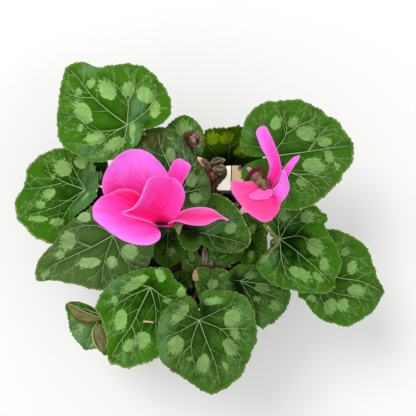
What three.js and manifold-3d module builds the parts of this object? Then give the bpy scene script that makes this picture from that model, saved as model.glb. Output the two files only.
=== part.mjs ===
// A potted cyclamen: twenty-one marbled leaves, two pink blooms and five buds that grow from one
// corm, in a plain nursery pot of potting mix with a bare plant label.
// Millimetres, +Z up. The origin is the centre of the pot's base, on the surface it stands on.

import * as THREE from "three";
import { mergeVertices } from "three/addons/utils/BufferGeometryUtils.js";
import Module from "manifold-3d";

const wasm = await Module();
wasm.setup();

// Pot
const POT_HEIGHT = 92;
const POT_RIM_RADIUS = 52;
const POT_BASE_RADIUS = 37;
const POT_WALL = 1.4;
const POT_FLOOR = 1.8;
const RIM_BAND_HEIGHT = 11;
const RIM_BAND_STEP = 2.2;
const RIM_LIP = 1.1;
const POT_SIDES = 36;
const DRAIN_HOLE_RADIUS = 3.5;
const DRAIN_HOLE_CIRCLE = 25;
const DRAIN_HOLES = 6;
const POT_FOOT_CHAMFER = 1;
const RIM_BAND_SHOULDER = 2;
const RIM_INNER_CHAMFER = 1;
const FIT_GAP = 0.3;

// Potting mix and corm
const SOIL_TOP = 82;
const SOIL_ROUGHNESS = 1.3;
const SOIL_RING_RADII = [39, 29];
const SOIL_SIDES = 18;
const CORM_CENTRE = [1, -8];
const CORM_RADIUS = 21;
const CORM_TOP = 91;
const CORM_HEIGHT = 26;
const CORM_SIDES = 20;
const CORM_RINGS = 6;
const CORM_FULLNESS = 0.55;
const STUB_SINK = 4;
const HOLE_DEPTH = 6;
const HOLE_SIDES = 6;
const HOLE_GAP = 0.45;
const UPRIGHT = 4;

// Leaves
const BLADE_THICKNESS = 0.9;
const PETIOLE_RADIUS = 1.4;
const PETIOLE_SIDES = 5;
const PETIOLE_STEPS = 8;
const ARCH_REACH = 0.38;
const ARCH_RISE = 0.4;
const JOINT_REACH = 0.13;
const JOINT_DROP = 9;
const RADII_STEP = 30;
const TOOTH_DEPTH = 0.45;
const SINUS_EDGE = 0.11;
const SINUS_CROWDING = 1.2;
const POINT_SPREAD = 22;
const POINT_SHARPNESS = 1.5;
const FOLD_ROUNDING = 0.08;

// Rings of a blade's mesh, from the petiole joint out: share of the radius and number of steps
const BLADE_RINGS = [[0.28, 6], [0.56, 12], [0.83, 24], [1, 48]];
const SMALL_BLADE_RINGS = [[0.35, 8], [0.72, 16], [1, 32]];

// Blooms and buds
const PETAL_THICKNESS = 0.8;
const PETAL_ROWS = 7;
const PETAL_COLUMNS = 4;
const TIP_START = 0.7;
const TIP_ROUNDING = 0.75;
const SEAT_SINK = 1.2;
const SEAT_LIP = 1.4;
const TUBE_RADIUS = 5.2;
const TUBE_LENGTH = 7;
const TUBE_WALL = 1;
const TUBE_HEEL = 3;
const TUBE_SIDES = 10;
const STALK_RADIUS = 1.45;
const STALK_SIDES = 6;
const STALK_STEPS = 18;
const SEPALS = 5;
const SEPAL_REACH = 4.2;
const SEPAL_NOTCH = 2.2;
const SEPAL_THICKNESS = 0.8;
const CALYX_MOUTH = 2.7;
const CALYX_HEEL = 1.3;
const CALYX_HEIGHT = 1.6;
const BUD_STALK_RADIUS = 1.15;
const BUD_STALK_STEPS = 10;
const BUD_RINGS = 6;
const BUD_SIDES = 8;
const BUD_HEEL = 0.38;

// Label
const LABEL_THICKNESS = 0.8;
const LABEL_ROWS = 10;

const DEG = Math.PI / 180;

const paint = (colour, roughness) =>
  new THREE.MeshStandardMaterial({ color: colour, roughness, metalness: 0 });
const POT_PLASTIC = paint(0x24201e, 0.6);
const POTTING_MIX = paint(0x1d1611, 0.95);
const CORM_SKIN = paint(0x6d5238, 0.85);
const LEAF_GREEN = paint(0x2f6b2a, 0.5);
const PETAL_PINK = paint(0xff4fb8, 0.55);
const STALK_RED = paint(0x6b3b2c, 0.6);
const BUD_OLIVE = paint(0x8d7a52, 0.6);
const LABEL_PLASTIC = paint(0xf1e8d4, 0.5);

const vec = (x, y, z) => new THREE.Vector3(x, y, z);

// Closed geometry with shared vertices, for joining and cutting
function welded(geometry) {
  const bare = geometry.clone();
  bare.deleteAttribute("normal");
  bare.deleteAttribute("uv");
  return mergeVertices(bare, 1e-4);
}

function toSolid(geometry) {
  const bare = welded(geometry);
  const mesh = new wasm.Mesh({
    numProp: 3,
    vertProperties: new Float32Array(bare.attributes.position.array),
    triVerts: new Uint32Array(bare.index.array),
  });
  mesh.merge();
  return new wasm.Manifold(mesh);
}

function toGeometry(solid) {
  const mesh = solid.getMesh();
  const geometry = new THREE.BufferGeometry();
  geometry.setAttribute("position", new THREE.BufferAttribute(mesh.vertProperties, 3));
  geometry.setIndex(new THREE.BufferAttribute(mesh.triVerts, 1));
  geometry.computeVertexNormals();
  return geometry;
}

// One body from several: any loose scrap or sealed hollow left by joining them is dropped
function joined(geometries) {
  const whole = geometries.map(toSolid).reduce((sum, next) => sum.add(next));
  return whole.decompose().reduce((best, next) => (next.volume() > best.volume() ? next : best));
}

function node(name, geometry, material) {
  const mesh = new THREE.Mesh(geometry, material);
  mesh.name = name;
  return mesh;
}

// Thin solid between two faces that share one triangulation, set half a thickness either side
function thickSheet(points, normals, triangles, boundary, thickness) {
  const positions = [];
  for (const side of [0.5, -0.5]) {
    points.forEach((point, i) => {
      const moved = point.clone().addScaledVector(normals[i], side * thickness);
      positions.push(moved.x, moved.y, moved.z);
    });
  }
  const under = points.length;
  const index = [];
  for (const [a, b, c] of triangles) {
    index.push(a, b, c, under + a, under + c, under + b);
  }
  boundary.forEach((a, i) => {
    const b = boundary[(i + 1) % boundary.length];
    index.push(a, under + a, b, b, under + a, under + b);
  });
  const geometry = new THREE.BufferGeometry();
  geometry.setAttribute("position", new THREE.Float32BufferAttribute(positions, 3));
  geometry.setIndex(index);
  return geometry;
}

// Stem of one thickness along a curve
function stem(curve, radius, sides, steps) {
  const corners = [];
  for (let k = 0; k < sides; k += 1) {
    const angle = (2 * Math.PI * k) / sides;
    corners.push(new THREE.Vector2(radius * Math.cos(angle), radius * Math.sin(angle)));
  }
  return new THREE.ExtrudeGeometry(new THREE.Shape(corners), { steps, extrudePath: curve });
}

// Pot, open at the top, with a stepped rim band and a ring of drainage holes in the floor
function potOuterRadius(z) {
  return POT_BASE_RADIUS + ((POT_RIM_RADIUS - RIM_BAND_STEP - POT_BASE_RADIUS) * z) / POT_HEIGHT;
}

function potInnerRadius(z) {
  return potOuterRadius(z) - POT_WALL;
}

function makePot() {
  const bandFoot = POT_HEIGHT - RIM_BAND_HEIGHT;
  const profile = [
    [0, 0],
    [POT_BASE_RADIUS - POT_FOOT_CHAMFER, 0],
    [POT_BASE_RADIUS, POT_FOOT_CHAMFER],
    [potOuterRadius(bandFoot), bandFoot],
    [POT_RIM_RADIUS, bandFoot + RIM_BAND_SHOULDER],
    [POT_RIM_RADIUS, POT_HEIGHT - RIM_LIP],
    [POT_RIM_RADIUS - RIM_LIP, POT_HEIGHT],
    [potInnerRadius(POT_HEIGHT) + RIM_INNER_CHAMFER, POT_HEIGHT],
    [potInnerRadius(POT_HEIGHT - RIM_INNER_CHAMFER), POT_HEIGHT - RIM_INNER_CHAMFER],
    [potInnerRadius(POT_FLOOR), POT_FLOOR],
    [0, POT_FLOOR],
  ];
  const points = profile.map(([r, z]) => new THREE.Vector2(r, z));
  const shell = new THREE.LatheGeometry(points, POT_SIDES).rotateX(Math.PI / 2);
  let solid = toSolid(shell);
  const hole = new THREE.CylinderGeometry(
    DRAIN_HOLE_RADIUS,
    DRAIN_HOLE_RADIUS,
    4 * POT_FLOOR,
    HOLE_SIDES,
  ).rotateX(Math.PI / 2);
  for (let i = 0; i < DRAIN_HOLES; i += 1) {
    const angle = (i * 2 * Math.PI) / DRAIN_HOLES;
    const x = DRAIN_HOLE_CIRCLE * Math.cos(angle);
    const y = DRAIN_HOLE_CIRCLE * Math.sin(angle);
    solid = solid.subtract(toSolid(hole.clone().translate(x, y, 0)));
  }
  return node("pot", toGeometry(solid), POT_PLASTIC);
}

// Corm: a squat tuber whose flat crown carries every stalk
function cormProfile(grow) {
  const points = [new THREE.Vector2(0, CORM_TOP - CORM_HEIGHT - grow)];
  for (let i = 1; i < CORM_RINGS; i += 1) {
    const angle = -Math.PI / 2 + (Math.PI * i) / CORM_RINGS;
    const radius = (CORM_RADIUS + grow) * Math.cos(angle) ** CORM_FULLNESS;
    const z = CORM_TOP - CORM_HEIGHT / 2 + (CORM_HEIGHT / 2 + grow) * Math.sin(angle);
    points.push(new THREE.Vector2(radius, z));
  }
  points.push(new THREE.Vector2(0, CORM_TOP + grow));
  return points;
}

function cormShape(grow) {
  return new THREE.LatheGeometry(cormProfile(grow), CORM_SIDES)
    .rotateX(Math.PI / 2)
    .translate(CORM_CENTRE[0], CORM_CENTRE[1], 0);
}

// Where a stalk leaves the crown: its distance from the crown's middle and its bearing
function crownPoint(ring, bearing, z) {
  return vec(
    CORM_CENTRE[0] + ring * Math.cos(bearing * DEG),
    CORM_CENTRE[1] + ring * Math.sin(bearing * DEG),
    z,
  );
}

function stalkHole(root, radius) {
  const [ring, bearing] = root;
  const foot = crownPoint(ring, bearing, CORM_TOP - HOLE_DEPTH);
  const wide = (radius + HOLE_GAP) / Math.cos(Math.PI / HOLE_SIDES);
  return new THREE.CylinderGeometry(wide, wide, 4 * HOLE_DEPTH, HOLE_SIDES)
    .rotateX(Math.PI / 2)
    .translate(foot.x, foot.y, foot.z + 2 * HOLE_DEPTH);
}

const STALK_FOOT = CORM_TOP - HOLE_DEPTH + FIT_GAP;

// Old stalk bases that stand up from the front of the crown
const STUBS = [
  { root: [4, -40], lean: [-1.5, 3], radius: 1.6, height: 10 },
  { root: [7, -75], lean: [-1, 4], radius: 1.5, height: 13 },
  { root: [5, -105], lean: [0.5, 4], radius: 1.7, height: 11 },
];

function makeCorm(roots) {
  const stubs = STUBS.map((stub) => {
    const foot = crownPoint(stub.root[0], stub.root[1], CORM_TOP - STUB_SINK);
    const top = foot.clone().add(vec(stub.lean[0], stub.lean[1], stub.height));
    return stem(new THREE.LineCurve3(foot, top), stub.radius, PETIOLE_SIDES, 1);
  });
  let solid = joined([cormShape(0), ...stubs]);
  for (const { root, radius } of roots) {
    solid = solid.subtract(toSolid(stalkHole(root, radius)));
  }
  return node("corm", toGeometry(solid), CORM_SKIN);
}

// Potting mix, level with the shoulder of the corm and slightly uneven on top
function makeSoil(label) {
  const floor = POT_FLOOR + FIT_GAP;
  const points = [
    new THREE.Vector2(0, floor),
    new THREE.Vector2(potInnerRadius(floor) - FIT_GAP, floor),
    new THREE.Vector2(potInnerRadius(SOIL_TOP) - FIT_GAP, SOIL_TOP),
    ...SOIL_RING_RADII.map((radius) => new THREE.Vector2(radius, SOIL_TOP)),
    new THREE.Vector2(0, SOIL_TOP),
  ];
  const body = new THREE.LatheGeometry(points, SOIL_SIDES).rotateX(Math.PI / 2);
  const place = body.attributes.position;
  for (let i = 0; i < place.count; i += 1) {
    const x = place.getX(i);
    const y = place.getY(i);
    if (place.getZ(i) > SOIL_TOP - 1 && Math.hypot(x, y) < SOIL_RING_RADII[0] + 1) {
      const lump = Math.sin(0.31 * x + 1) * Math.cos(0.27 * y) + 0.5 * Math.sin(0.53 * y + 0.4 * x);
      place.setZ(i, SOIL_TOP + SOIL_ROUGHNESS * lump);
    }
  }
  const solid = toSolid(body).subtract(toSolid(cormShape(FIT_GAP))).subtract(label);
  return node("soil", toGeometry(solid), POTTING_MIX);
}

// Leaf blade. The outline is given by its distance from the petiole joint at bearings 30 degrees
// apart: first the tip, then each side round to the basal lobe.
function edgeRadius(leaf, bearing) {
  const side = bearing >= 0 ? leaf.left : leaf.right;
  const other = bearing >= 0 ? leaf.right : leaf.left;
  const radii = [leaf.tip, ...side];
  const turn = Math.abs(bearing);
  const last = radii.length - 1;
  const lobe = last * RADII_STEP;
  if (turn >= lobe) {
    const fall = (turn - lobe) / (leaf.end - lobe);
    const low = SINUS_EDGE * leaf.tip;
    return low + (radii[last] - low) * Math.sqrt(Math.max(0, 1 - fall ** 2));
  }
  const point = leaf.point * Math.max(0, 1 - turn / POINT_SPREAD) ** POINT_SHARPNESS;
  const i = Math.floor(turn / RADII_STEP);
  const f = turn / RADII_STEP - i;
  const before = i === 0 ? other[0] : radii[i - 1];
  const after = radii[Math.min(i + 2, last)];
  return point + catmullRom(before, radii[i], radii[i + 1], after, f);
}

function catmullRom(a, b, c, d, f) {
  const slope = (c - a) / 2;
  const slopeEnd = (d - b) / 2;
  const cubic = 2 * (b - c) + slope + slopeEnd;
  const square = 3 * (c - b) - 2 * slope - slopeEnd;
  return ((cubic * f + square) * f + slope) * f + b;
}

// A flat point of the blade, bent into the leaf's cup, fold, droop, waves and curl
function bentPoint(leaf, u, v) {
  const reach = Math.hypot(u, v) / leaf.tip;
  const bearing = Math.atan2(v, u);
  const [waveHeight, waveCount, wavePhase] = leaf.wave;
  let x = u;
  let y = v;
  let z = leaf.cup * reach ** 2;
  z += leaf.fold * (Math.hypot(v / leaf.tip, FOLD_ROUNDING) - FOLD_ROUNDING);
  z -= leaf.droop * Math.max(0, u / leaf.tip) ** 2;
  z += waveHeight * reach ** 3 * Math.sin(waveCount * bearing + wavePhase * DEG);
  for (const curl of leaf.curls) {
    const along = vec(Math.cos(curl.bearing * DEG), Math.sin(curl.bearing * DEG), 0);
    const past = u * along.x + v * along.y - curl.from;
    if (past > 0) {
      const bend = Math.min(past / curl.radius, curl.turn * DEG);
      const straight = past - bend * curl.radius;
      const forward = curl.radius * Math.sin(bend) + straight * Math.cos(bend) - past;
      x += along.x * forward;
      y += along.y * forward;
      z += curl.radius * (1 - Math.cos(bend)) + straight * Math.sin(bend);
    }
  }
  return vec(x, y, z);
}

function leafPlacement(leaf) {
  const [x, y, z] = leaf.at;
  return new THREE.Matrix4()
    .makeTranslation(x, y, z)
    .multiply(new THREE.Matrix4().makeRotationZ(leaf.heading * DEG))
    .multiply(new THREE.Matrix4().makeRotationY(leaf.dip * DEG))
    .multiply(new THREE.Matrix4().makeRotationX(leaf.roll * DEG));
}

function bladeSheet(leaf) {
  const rings = leaf.small ? SMALL_BLADE_RINGS : BLADE_RINGS;
  const flat = [[0, 0]];
  const starts = [];
  for (const [reach, count] of rings) {
    starts.push(flat.length);
    const isRim = reach === 1;
    for (let i = 0; i <= count; i += 1) {
      const s = (2 * i) / count - 1;
      const bearing = Math.sign(s) * leaf.end * (1 - (1 - Math.abs(s)) ** SINUS_CROWDING);
      const tooth = isRim && i > 0 && i < count ? TOOTH_DEPTH * (i % 2 ? -1 : 1) : 0;
      const radius = reach * edgeRadius(leaf, bearing) + tooth;
      flat.push([radius * Math.cos(bearing * DEG), radius * Math.sin(bearing * DEG)]);
    }
  }
  const triangles = [];
  for (let i = 0; i < rings[0][1]; i += 1) {
    triangles.push([0, starts[0] + i, starts[0] + i + 1]);
  }
  for (let ring = 1; ring < rings.length; ring += 1) {
    const inner = starts[ring - 1];
    const outer = starts[ring];
    for (let i = 0; i < rings[ring - 1][1]; i += 1) {
      const middle = outer + 2 * i + 1;
      triangles.push([inner + i, middle - 1, middle]);
      triangles.push([inner + i, middle, inner + i + 1]);
      triangles.push([inner + i + 1, middle, middle + 1]);
    }
  }
  const boundary = [0];
  starts.forEach((start) => boundary.push(start));
  const rim = starts[starts.length - 1];
  const rimCount = rings[rings.length - 1][1];
  for (let i = 1; i < rimCount; i += 1) {
    boundary.push(rim + i);
  }
  for (let ring = rings.length - 1; ring >= 0; ring -= 1) {
    boundary.push(starts[ring] + rings[ring][1]);
  }
  const placement = leafPlacement(leaf);
  const nudge = 0.2;
  const points = flat.map(([u, v]) => bentPoint(leaf, u, v));
  const normals = flat.map(([u, v]) => {
    const alongU = bentPoint(leaf, u + nudge, v).sub(bentPoint(leaf, u - nudge, v));
    const alongV = bentPoint(leaf, u, v + nudge).sub(bentPoint(leaf, u, v - nudge));
    return alongU.cross(alongV).normalize();
  });
  const sheet = thickSheet(points, normals, triangles, boundary, BLADE_THICKNESS);
  return sheet.applyMatrix4(placement);
}

// The petiole leaves the crown upright, arches outwards and meets the blade from below and behind
function petioleCurve(leaf) {
  const foot = crownPoint(leaf.root[0], leaf.root[1], STALK_FOOT);
  const joint = vec(...leaf.at);
  const outward = vec(joint.x - foot.x, joint.y - foot.y, 0);
  const reach = outward.length();
  outward.normalize();
  const upright = foot.clone().add(vec(0, 0, HOLE_DEPTH + UPRIGHT));
  const points = [foot, upright];
  if (leaf.via) {
    leaf.via.forEach((point) => points.push(vec(...point)));
  } else {
    points.push(
      vec(
        foot.x + outward.x * reach * ARCH_REACH,
        foot.y + outward.y * reach * ARCH_REACH,
        upright.z + (joint.z - upright.z) * ARCH_RISE,
      ),
    );
  }
  const back = outward.clone().multiplyScalar(-JOINT_REACH * reach).setZ(-JOINT_DROP);
  points.push(joint.clone().add(back));
  points.push(joint);
  return new THREE.CatmullRomCurve3(points, false, "centripetal");
}

const LEAF_DEFAULTS = {
  cup: 0,
  fold: 0,
  droop: 4,
  wave: [1.2, 5, 0],
  dip: 0,
  roll: 0,
  end: 174,
  point: 0,
  curls: [],
  small: false,
};

const LEAVES = [
  {
    name: "leaf_back_left",
    at: [-58, 94, 150],
    heading: 135,
    tip: 62,
    left: [56, 53, 42, 32, 21],
    right: [49, 45, 41, 35, 18],
    dip: 6,
    droop: 6,
    cup: -2,
    root: [17, 118],
    point: 6,
  },
  {
    name: "leaf_left",
    at: [-93, 46, 129],
    heading: -157,
    tip: 62,
    left: [54, 46, 39, 30, 19],
    right: [51, 46, 39, 29, 19],
    dip: 8,
    droop: 5,
    cup: -2,
    wave: [1.6, 5, 40],
    root: [17, 154],
  },
  {
    name: "leaf_centre_back",
    at: [-20, 42, 156],
    heading: 107,
    tip: 51,
    left: [48, 42, 36, 28, 18],
    right: [37, 29, 26, 23, 14],
    dip: 4,
    droop: 5,
    cup: -3,
    root: [10, 120],
  },
  {
    name: "leaf_left_low",
    at: [-70, 11, 138],
    heading: -149,
    tip: 60,
    left: [47, 43, 37, 34, 31],
    right: [43, 32, 27, 23, 20],
    dip: 5,
    droop: 5,
    cup: -1,
    root: [17, 174],
    point: 12,
  },
  {
    name: "leaf_back_small",
    at: [-16, 83, 134],
    heading: 80,
    tip: 21,
    left: [19, 18, 17, 16, 12],
    right: [18.5, 17.5, 17, 16, 12],
    cup: -2,
    droop: 2,
    wave: [0.8, 4, 0],
    small: true,
    root: [17, 98],
  },
  {
    name: "leaf_back_curled",
    at: [18, 62, 118],
    heading: 86,
    tip: 37,
    left: [37, 31, 24, 20, 14],
    right: [38, 31, 24, 20, 14],
    dip: -26,
    cup: 4,
    droop: 3,
    wave: [2, 7, 30],
    small: true,
    root: [17, 74],
  },
  {
    name: "leaf_back_right",
    at: [49, 70, 155],
    heading: 8,
    tip: 65,
    left: [54, 47, 40, 34, 23],
    right: [56, 48, 39, 31, 27],
    dip: 5,
    droop: 5,
    cup: -2,
    root: [17, 50],
    via: [[20, 20, 104], [30, 36, 108], [40, 50, 119], [46, 61, 139]],
  },
  {
    name: "leaf_right",
    at: [57, 8, 143],
    heading: -41,
    tip: 55,
    left: [47, 40, 32, 25, 15],
    right: [42, 33, 25, 15, 9],
    dip: 6,
    roll: -6,
    droop: 4,
    cup: 5,
    wave: [1.8, 5, 80],
    root: [17, 10],
    via: [[32, -7, 104], [45.8, -8.4, 112], [51.5, -2.5, 127]],
  },
  {
    name: "leaf_far_right",
    at: [88, -18, 124],
    heading: -17,
    tip: 55,
    left: [46, 40.5, 35, 24, 16],
    right: [52, 44, 31, 21, 14],
    dip: 7,
    droop: 5,
    cup: -1,
    root: [17, -10],
    point: 4,
  },
  {
    name: "leaf_front_right",
    at: [23, -26, 145],
    heading: -13,
    tip: 44,
    left: [34, 21, 15, 11, 9],
    right: [41, 24, 12, 9, 8],
    dip: 6,
    roll: -8,
    droop: 3,
    root: [17, -48],
    via: [[18, -27, 101], [24.5, -32, 112], [27, -31.5, 128]],
  },
  {
    name: "leaf_front",
    at: [-3, -52, 154],
    heading: -82,
    tip: 57,
    left: [50, 46, 41, 35, 25],
    right: [46, 40, 33, 29, 22],
    dip: 6,
    droop: 6,
    cup: -2,
    root: [17, -98],
    point: 4,
    end: 177,
    via: [[-5, -33, 112], [-8.5, -39, 124], [-6.5, -46, 140]],
  },
  {
    name: "leaf_front_left",
    at: [-41, -28, 148],
    heading: -119,
    tip: 67,
    left: [56, 45, 36, 32, 22],
    right: [46, 37, 24, 19, 16],
    dip: 6,
    droop: 6,
    fold: 3,
    cup: 3,
    wave: [1.6, 6, 20],
    root: [17, 211],
    via: [[-25, -16.5, 110], [-36, -21, 128]],
  },
  {
    name: "leaf_corner_curled",
    at: [-84, -55, 104],
    heading: 160,
    tip: 30,
    left: [26, 28, 31, 31, 20],
    right: [20, 15, 14, 12, 9],
    dip: 5,
    droop: 3,
    cup: 3,
    small: true,
    curls: [{ bearing: -93, from: 1, radius: 3, turn: 150 }],
    root: [17, 193],
  },
  {
    name: "leaf_inner_left",
    at: [-29, 14, 122],
    heading: 268,
    tip: 29,
    left: [24, 12.5, 10, 9, 7],
    right: [24, 18, 15, 13, 9],
    cup: 2,
    droop: 3,
    small: true,
    root: [11, 155],
  },
  {
    name: "leaf_centre",
    at: [-4, 13, 139],
    heading: -15,
    tip: 40,
    left: [36, 34, 31, 20, 15],
    right: [24, 13, 15, 18, 17],
    dip: 3,
    droop: 3,
    wave: [1.8, 6, 10],
    root: [4.5, 115],
  },
  {
    name: "leaf_inner_small",
    at: [12, 2, 126],
    heading: -30,
    tip: 19,
    left: [17, 15, 13, 11, 8],
    right: [17, 15, 13, 11, 8],
    cup: -1,
    droop: 2,
    wave: [0.6, 4, 0],
    small: true,
    root: [9, -10],
  },
  {
    name: "leaf_inner_right",
    at: [36, 10, 122],
    heading: 20,
    tip: 24,
    left: [22, 20, 18, 15, 11],
    right: [19, 16, 16, 15, 11],
    cup: 1,
    droop: 2,
    wave: [0.8, 4, 50],
    small: true,
    root: [12, 22],
  },
  {
    name: "leaf_inner_front",
    at: [4, -38, 124],
    heading: 85,
    tip: 22,
    left: [24, 14, 9.5, 8, 7],
    right: [24, 20, 16, 12, 8],
    cup: -1,
    droop: 2,
    wave: [0.6, 4, 0],
    small: true,
    root: [14, -65],
  },
  {
    name: "leaf_inner_folded",
    at: [-11, -14, 114],
    heading: 95,
    tip: 15,
    left: [12, 8, 7, 7, 5],
    right: [12, 8, 7, 7, 5],
    fold: 8,
    droop: 2,
    wave: [0.5, 4, 0],
    small: true,
    root: [11, 195],
  },
  {
    name: "leaf_under_front",
    at: [-24, -30, 116],
    heading: 30,
    tip: 17,
    left: [14, 10, 8, 7, 6],
    right: [13, 10, 9, 8, 6],
    cup: -1,
    droop: 2,
    wave: [0.6, 4, 0],
    small: true,
    root: [17, 236],
  },
  {
    name: "leaf_under_left",
    at: [-66, 56, 112],
    heading: 130,
    tip: 24,
    left: [20, 17, 15, 13, 9],
    right: [21, 19, 16, 13, 9],
    droop: 3,
    wave: [0.6, 4, 0],
    small: true,
    root: [17, 136],
  },
].map((leaf) => ({ ...LEAF_DEFAULTS, ...leaf }));

function makeLeaf(leaf) {
  const blade = bladeSheet(leaf);
  const curve = petioleCurve(leaf);
  const petiole = stem(curve, PETIOLE_RADIUS, PETIOLE_SIDES, PETIOLE_STEPS);
  return node(leaf.name, toGeometry(joined([blade, petiole])), LEAF_GREEN);
}

// Petal: a strip of given half widths along a spine, hollowed across its width
function petalSheet(petal) {
  const spine = new THREE.CatmullRomCurve3(petal.spine.map((p) => vec(...p)));
  const widths = new THREE.CatmullRomCurve3(
    petal.widths.map(([left, right], i) => vec(left, right, i)),
  );
  const start = vec(...petal.across[0]).normalize();
  const finish = vec(...petal.across[1]).normalize();
  const points = [];
  for (let i = 0; i <= PETAL_ROWS; i += 1) {
    const t = i / PETAL_ROWS;
    const middle = spine.getPoint(t);
    const tangent = spine.getTangent(t);
    const sideways = start.clone().lerp(finish, t);
    sideways.addScaledVector(tangent, -sideways.dot(tangent)).normalize();
    const face = sideways.clone().cross(tangent).normalize();
    const width = widths.getPoint(t);
    const nearTip = Math.max(0, (t - TIP_START) / (1 - TIP_START));
    const rounding = Math.sqrt(1 - TIP_ROUNDING * nearTip ** 2);
    for (let k = 0; k <= PETAL_COLUMNS; k += 1) {
      const s = (2 * k) / PETAL_COLUMNS - 1;
      const half = rounding * (s < 0 ? width.x : width.y);
      const point = middle.clone().addScaledVector(sideways, s * half);
      point.addScaledVector(face, petal.hollow * s * s * t);
      points.push(point);
    }
  }
  return gridSheet(points, PETAL_ROWS, PETAL_COLUMNS, PETAL_THICKNESS);
}

// Thin solid from rows of points
function gridSheet(points, along, across, thickness) {
  const row = across + 1;
  const at = (i, k) => points[i * row + k];
  const normals = points.map((_, n) => {
    const i = Math.floor(n / row);
    const k = n % row;
    const down = at(Math.min(i + 1, along), k).clone().sub(at(Math.max(i - 1, 0), k));
    const right = at(i, Math.min(k + 1, across)).clone().sub(at(i, Math.max(k - 1, 0)));
    return right.cross(down).normalize();
  });
  const triangles = [];
  for (let i = 0; i < along; i += 1) {
    for (let k = 0; k < across; k += 1) {
      const a = i * row + k;
      triangles.push([a, a + 1, a + row], [a + 1, a + row + 1, a + row]);
    }
  }
  const boundary = [];
  for (let k = 0; k < across; k += 1) {
    boundary.push(k);
  }
  for (let i = 0; i < along; i += 1) {
    boundary.push(i * row + across);
  }
  for (let k = across; k > 0; k -= 1) {
    boundary.push(along * row + k);
  }
  for (let i = along; i > 0; i -= 1) {
    boundary.push(i * row);
  }
  return thickSheet(points, normals, triangles, boundary, thickness);
}

// Bloom: a short corolla tube with five petals turned back from its mouth, and the red stalk that
// ends in a five-pointed calyx behind the tube
const BLOOMS = [
  {
    name: "flower_left",
    calyx: [-17.5, 20.5, 203],
    facing: [-0.95, 0.1, -0.3],
    petals: [
      {
        name: "back",
        seat: -50,
        spine: [[-33, 30, 203], [-42, 46, 213], [-51, 65, 222]],
        widths: [[3, 3], [7, 7], [14, 12], [25, 22], [20, 21]],
        across: [[0.6, 1, 0.2], [0.95, 0.45, 0]],
        hollow: 5,
      },
      {
        name: "front",
        seat: 90,
        spine: [[-28, 21, 210], [-27, 34, 223], [-25, 50, 234]],
        widths: [[3, 3], [10, 6], [29, 11], [19, 14], [12, 11]],
        across: [[1, 0.25, 0.15], [1, 0, 0]],
        hollow: 4,
      },
      {
        name: "lower",
        seat: 215,
        spine: [[-36, 19, 201], [-54, 19.5, 204], [-75, 29, 200]],
        widths: [[3, 3], [11, 8], [12, 10], [10, 10], [6, 6]],
        across: [[0, 1, 0.1], [-0.2, 1, 0.2]],
        hollow: -3,
      },
      {
        name: "side",
        seat: 25,
        spine: [[-23, 31, 204], [-18, 44, 211], [-12, 61, 217]],
        widths: [[3, 3], [4, 4], [6, 6], [7, 7], [5.5, 5.5]],
        across: [[0.6, 0, -1], [1, -0.4, 0]],
        hollow: 2,
      },
      {
        name: "narrow",
        seat: 140,
        spine: [[-21, 22, 210.5], [-8, 27, 208], [8, 28, 203], [16, 23, 198]],
        widths: [[3, 3], [3, 3], [5.5, 5.5], [5, 5], [1.2, 1.2]],
        across: [[0, -1, 0], [0.2, -1, 0.3]],
        hollow: 2,
      },
    ],
    stalk: {
      root: [6, 170],
      via: [
        [-7, -2, 105],
        [-11, 5, 117],
        [-18, 7, 127],
        [-24, 9.5, 140],
        [-20, 14, 168],
        [-14.5, 19, 193],
        [-13.6, 20.3, 201.2],
      ],
    },
  },
  {
    name: "flower_right",
    calyx: [39.3, 49.9, 200],
    facing: [0.39, -0.54, -0.75],
    petals: [
      {
        name: "back",
        seat: 70,
        spine: [[46.8, 50, 197], [49, 61, 205], [44.5, 73, 213], [39.5, 84.5, 218]],
        widths: [[3, 3], [4, 4], [4.5, 4.5], [5.5, 5.5], [3.5, 4.5]],
        across: [[1, -0.3, 0.3], [1, 0.35, 0]],
        hollow: 1.5,
      },
      {
        name: "narrow",
        seat: 25,
        spine: [[54.5, 52, 199], [58.8, 59.5, 206], [62.8, 66, 211]],
        widths: [[3, 3], [3.2, 3.2], [3.2, 3.2], [1.3, 1.3]],
        across: [[0.4, -1, 0], [0.8, -0.6, 0]],
        hollow: 1,
      },
      {
        name: "side",
        seat: -20,
        spine: [[51.5, 43, 195], [56, 48, 203], [54, 57, 209]],
        widths: [[3, 3], [6, 6], [6.5, 5.5], [3, 3]],
        across: [[-0.3, -1, 0], [1, 0, 0.6]],
        hollow: 2,
      },
      {
        name: "front",
        seat: 250,
        spine: [[38.5, 41, 197], [35, 36.5, 198.5], [31.5, 29.5, 195]],
        widths: [[3, 3], [14, 11], [21, 17], [7, 11]],
        across: [[-0.8, 0.6, 0], [-0.8, 0.6, 0]],
        hollow: -2,
      },
      {
        name: "tip",
        seat: 150,
        spine: [[37, 52, 191.5], [33.3, 56.8, 190.5], [29.7, 60.5, 189.5]],
        widths: [[3, 3], [2.6, 2.6], [2.2, 2.2], [1.4, 1.4]],
        across: [[-0.7, -0.7, 0], [-0.7, -0.7, 0]],
        hollow: 0.6,
      },
    ],
    stalk: {
      root: [5, 20],
      via: [
        [9, 2, 108],
        [19, 20, 121],
        [28, 35, 134],
        [25, 41, 152],
        [29, 50, 188],
        [33.5, 57, 201],
        [38.5, 58.5, 207.5],
        [41.3, 55, 206.5],
      ],
    },
  },
];

// Directions round a bloom's mouth, seen along its facing
function mouthFrame(bloom) {
  const facing = vec(...bloom.facing).normalize();
  const up = vec(0, 0, 1);
  const side = vec(0, 1, 0);
  const first = side.addScaledVector(facing, -side.dot(facing)).normalize();
  const second = up.addScaledVector(facing, -up.dot(facing));
  second.addScaledVector(first, -second.dot(first)).normalize();
  const calyx = vec(...bloom.calyx);
  const mouth = calyx.clone().addScaledVector(facing, TUBE_LENGTH + FIT_GAP);
  return { facing, first, second, calyx, mouth };
}

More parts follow.
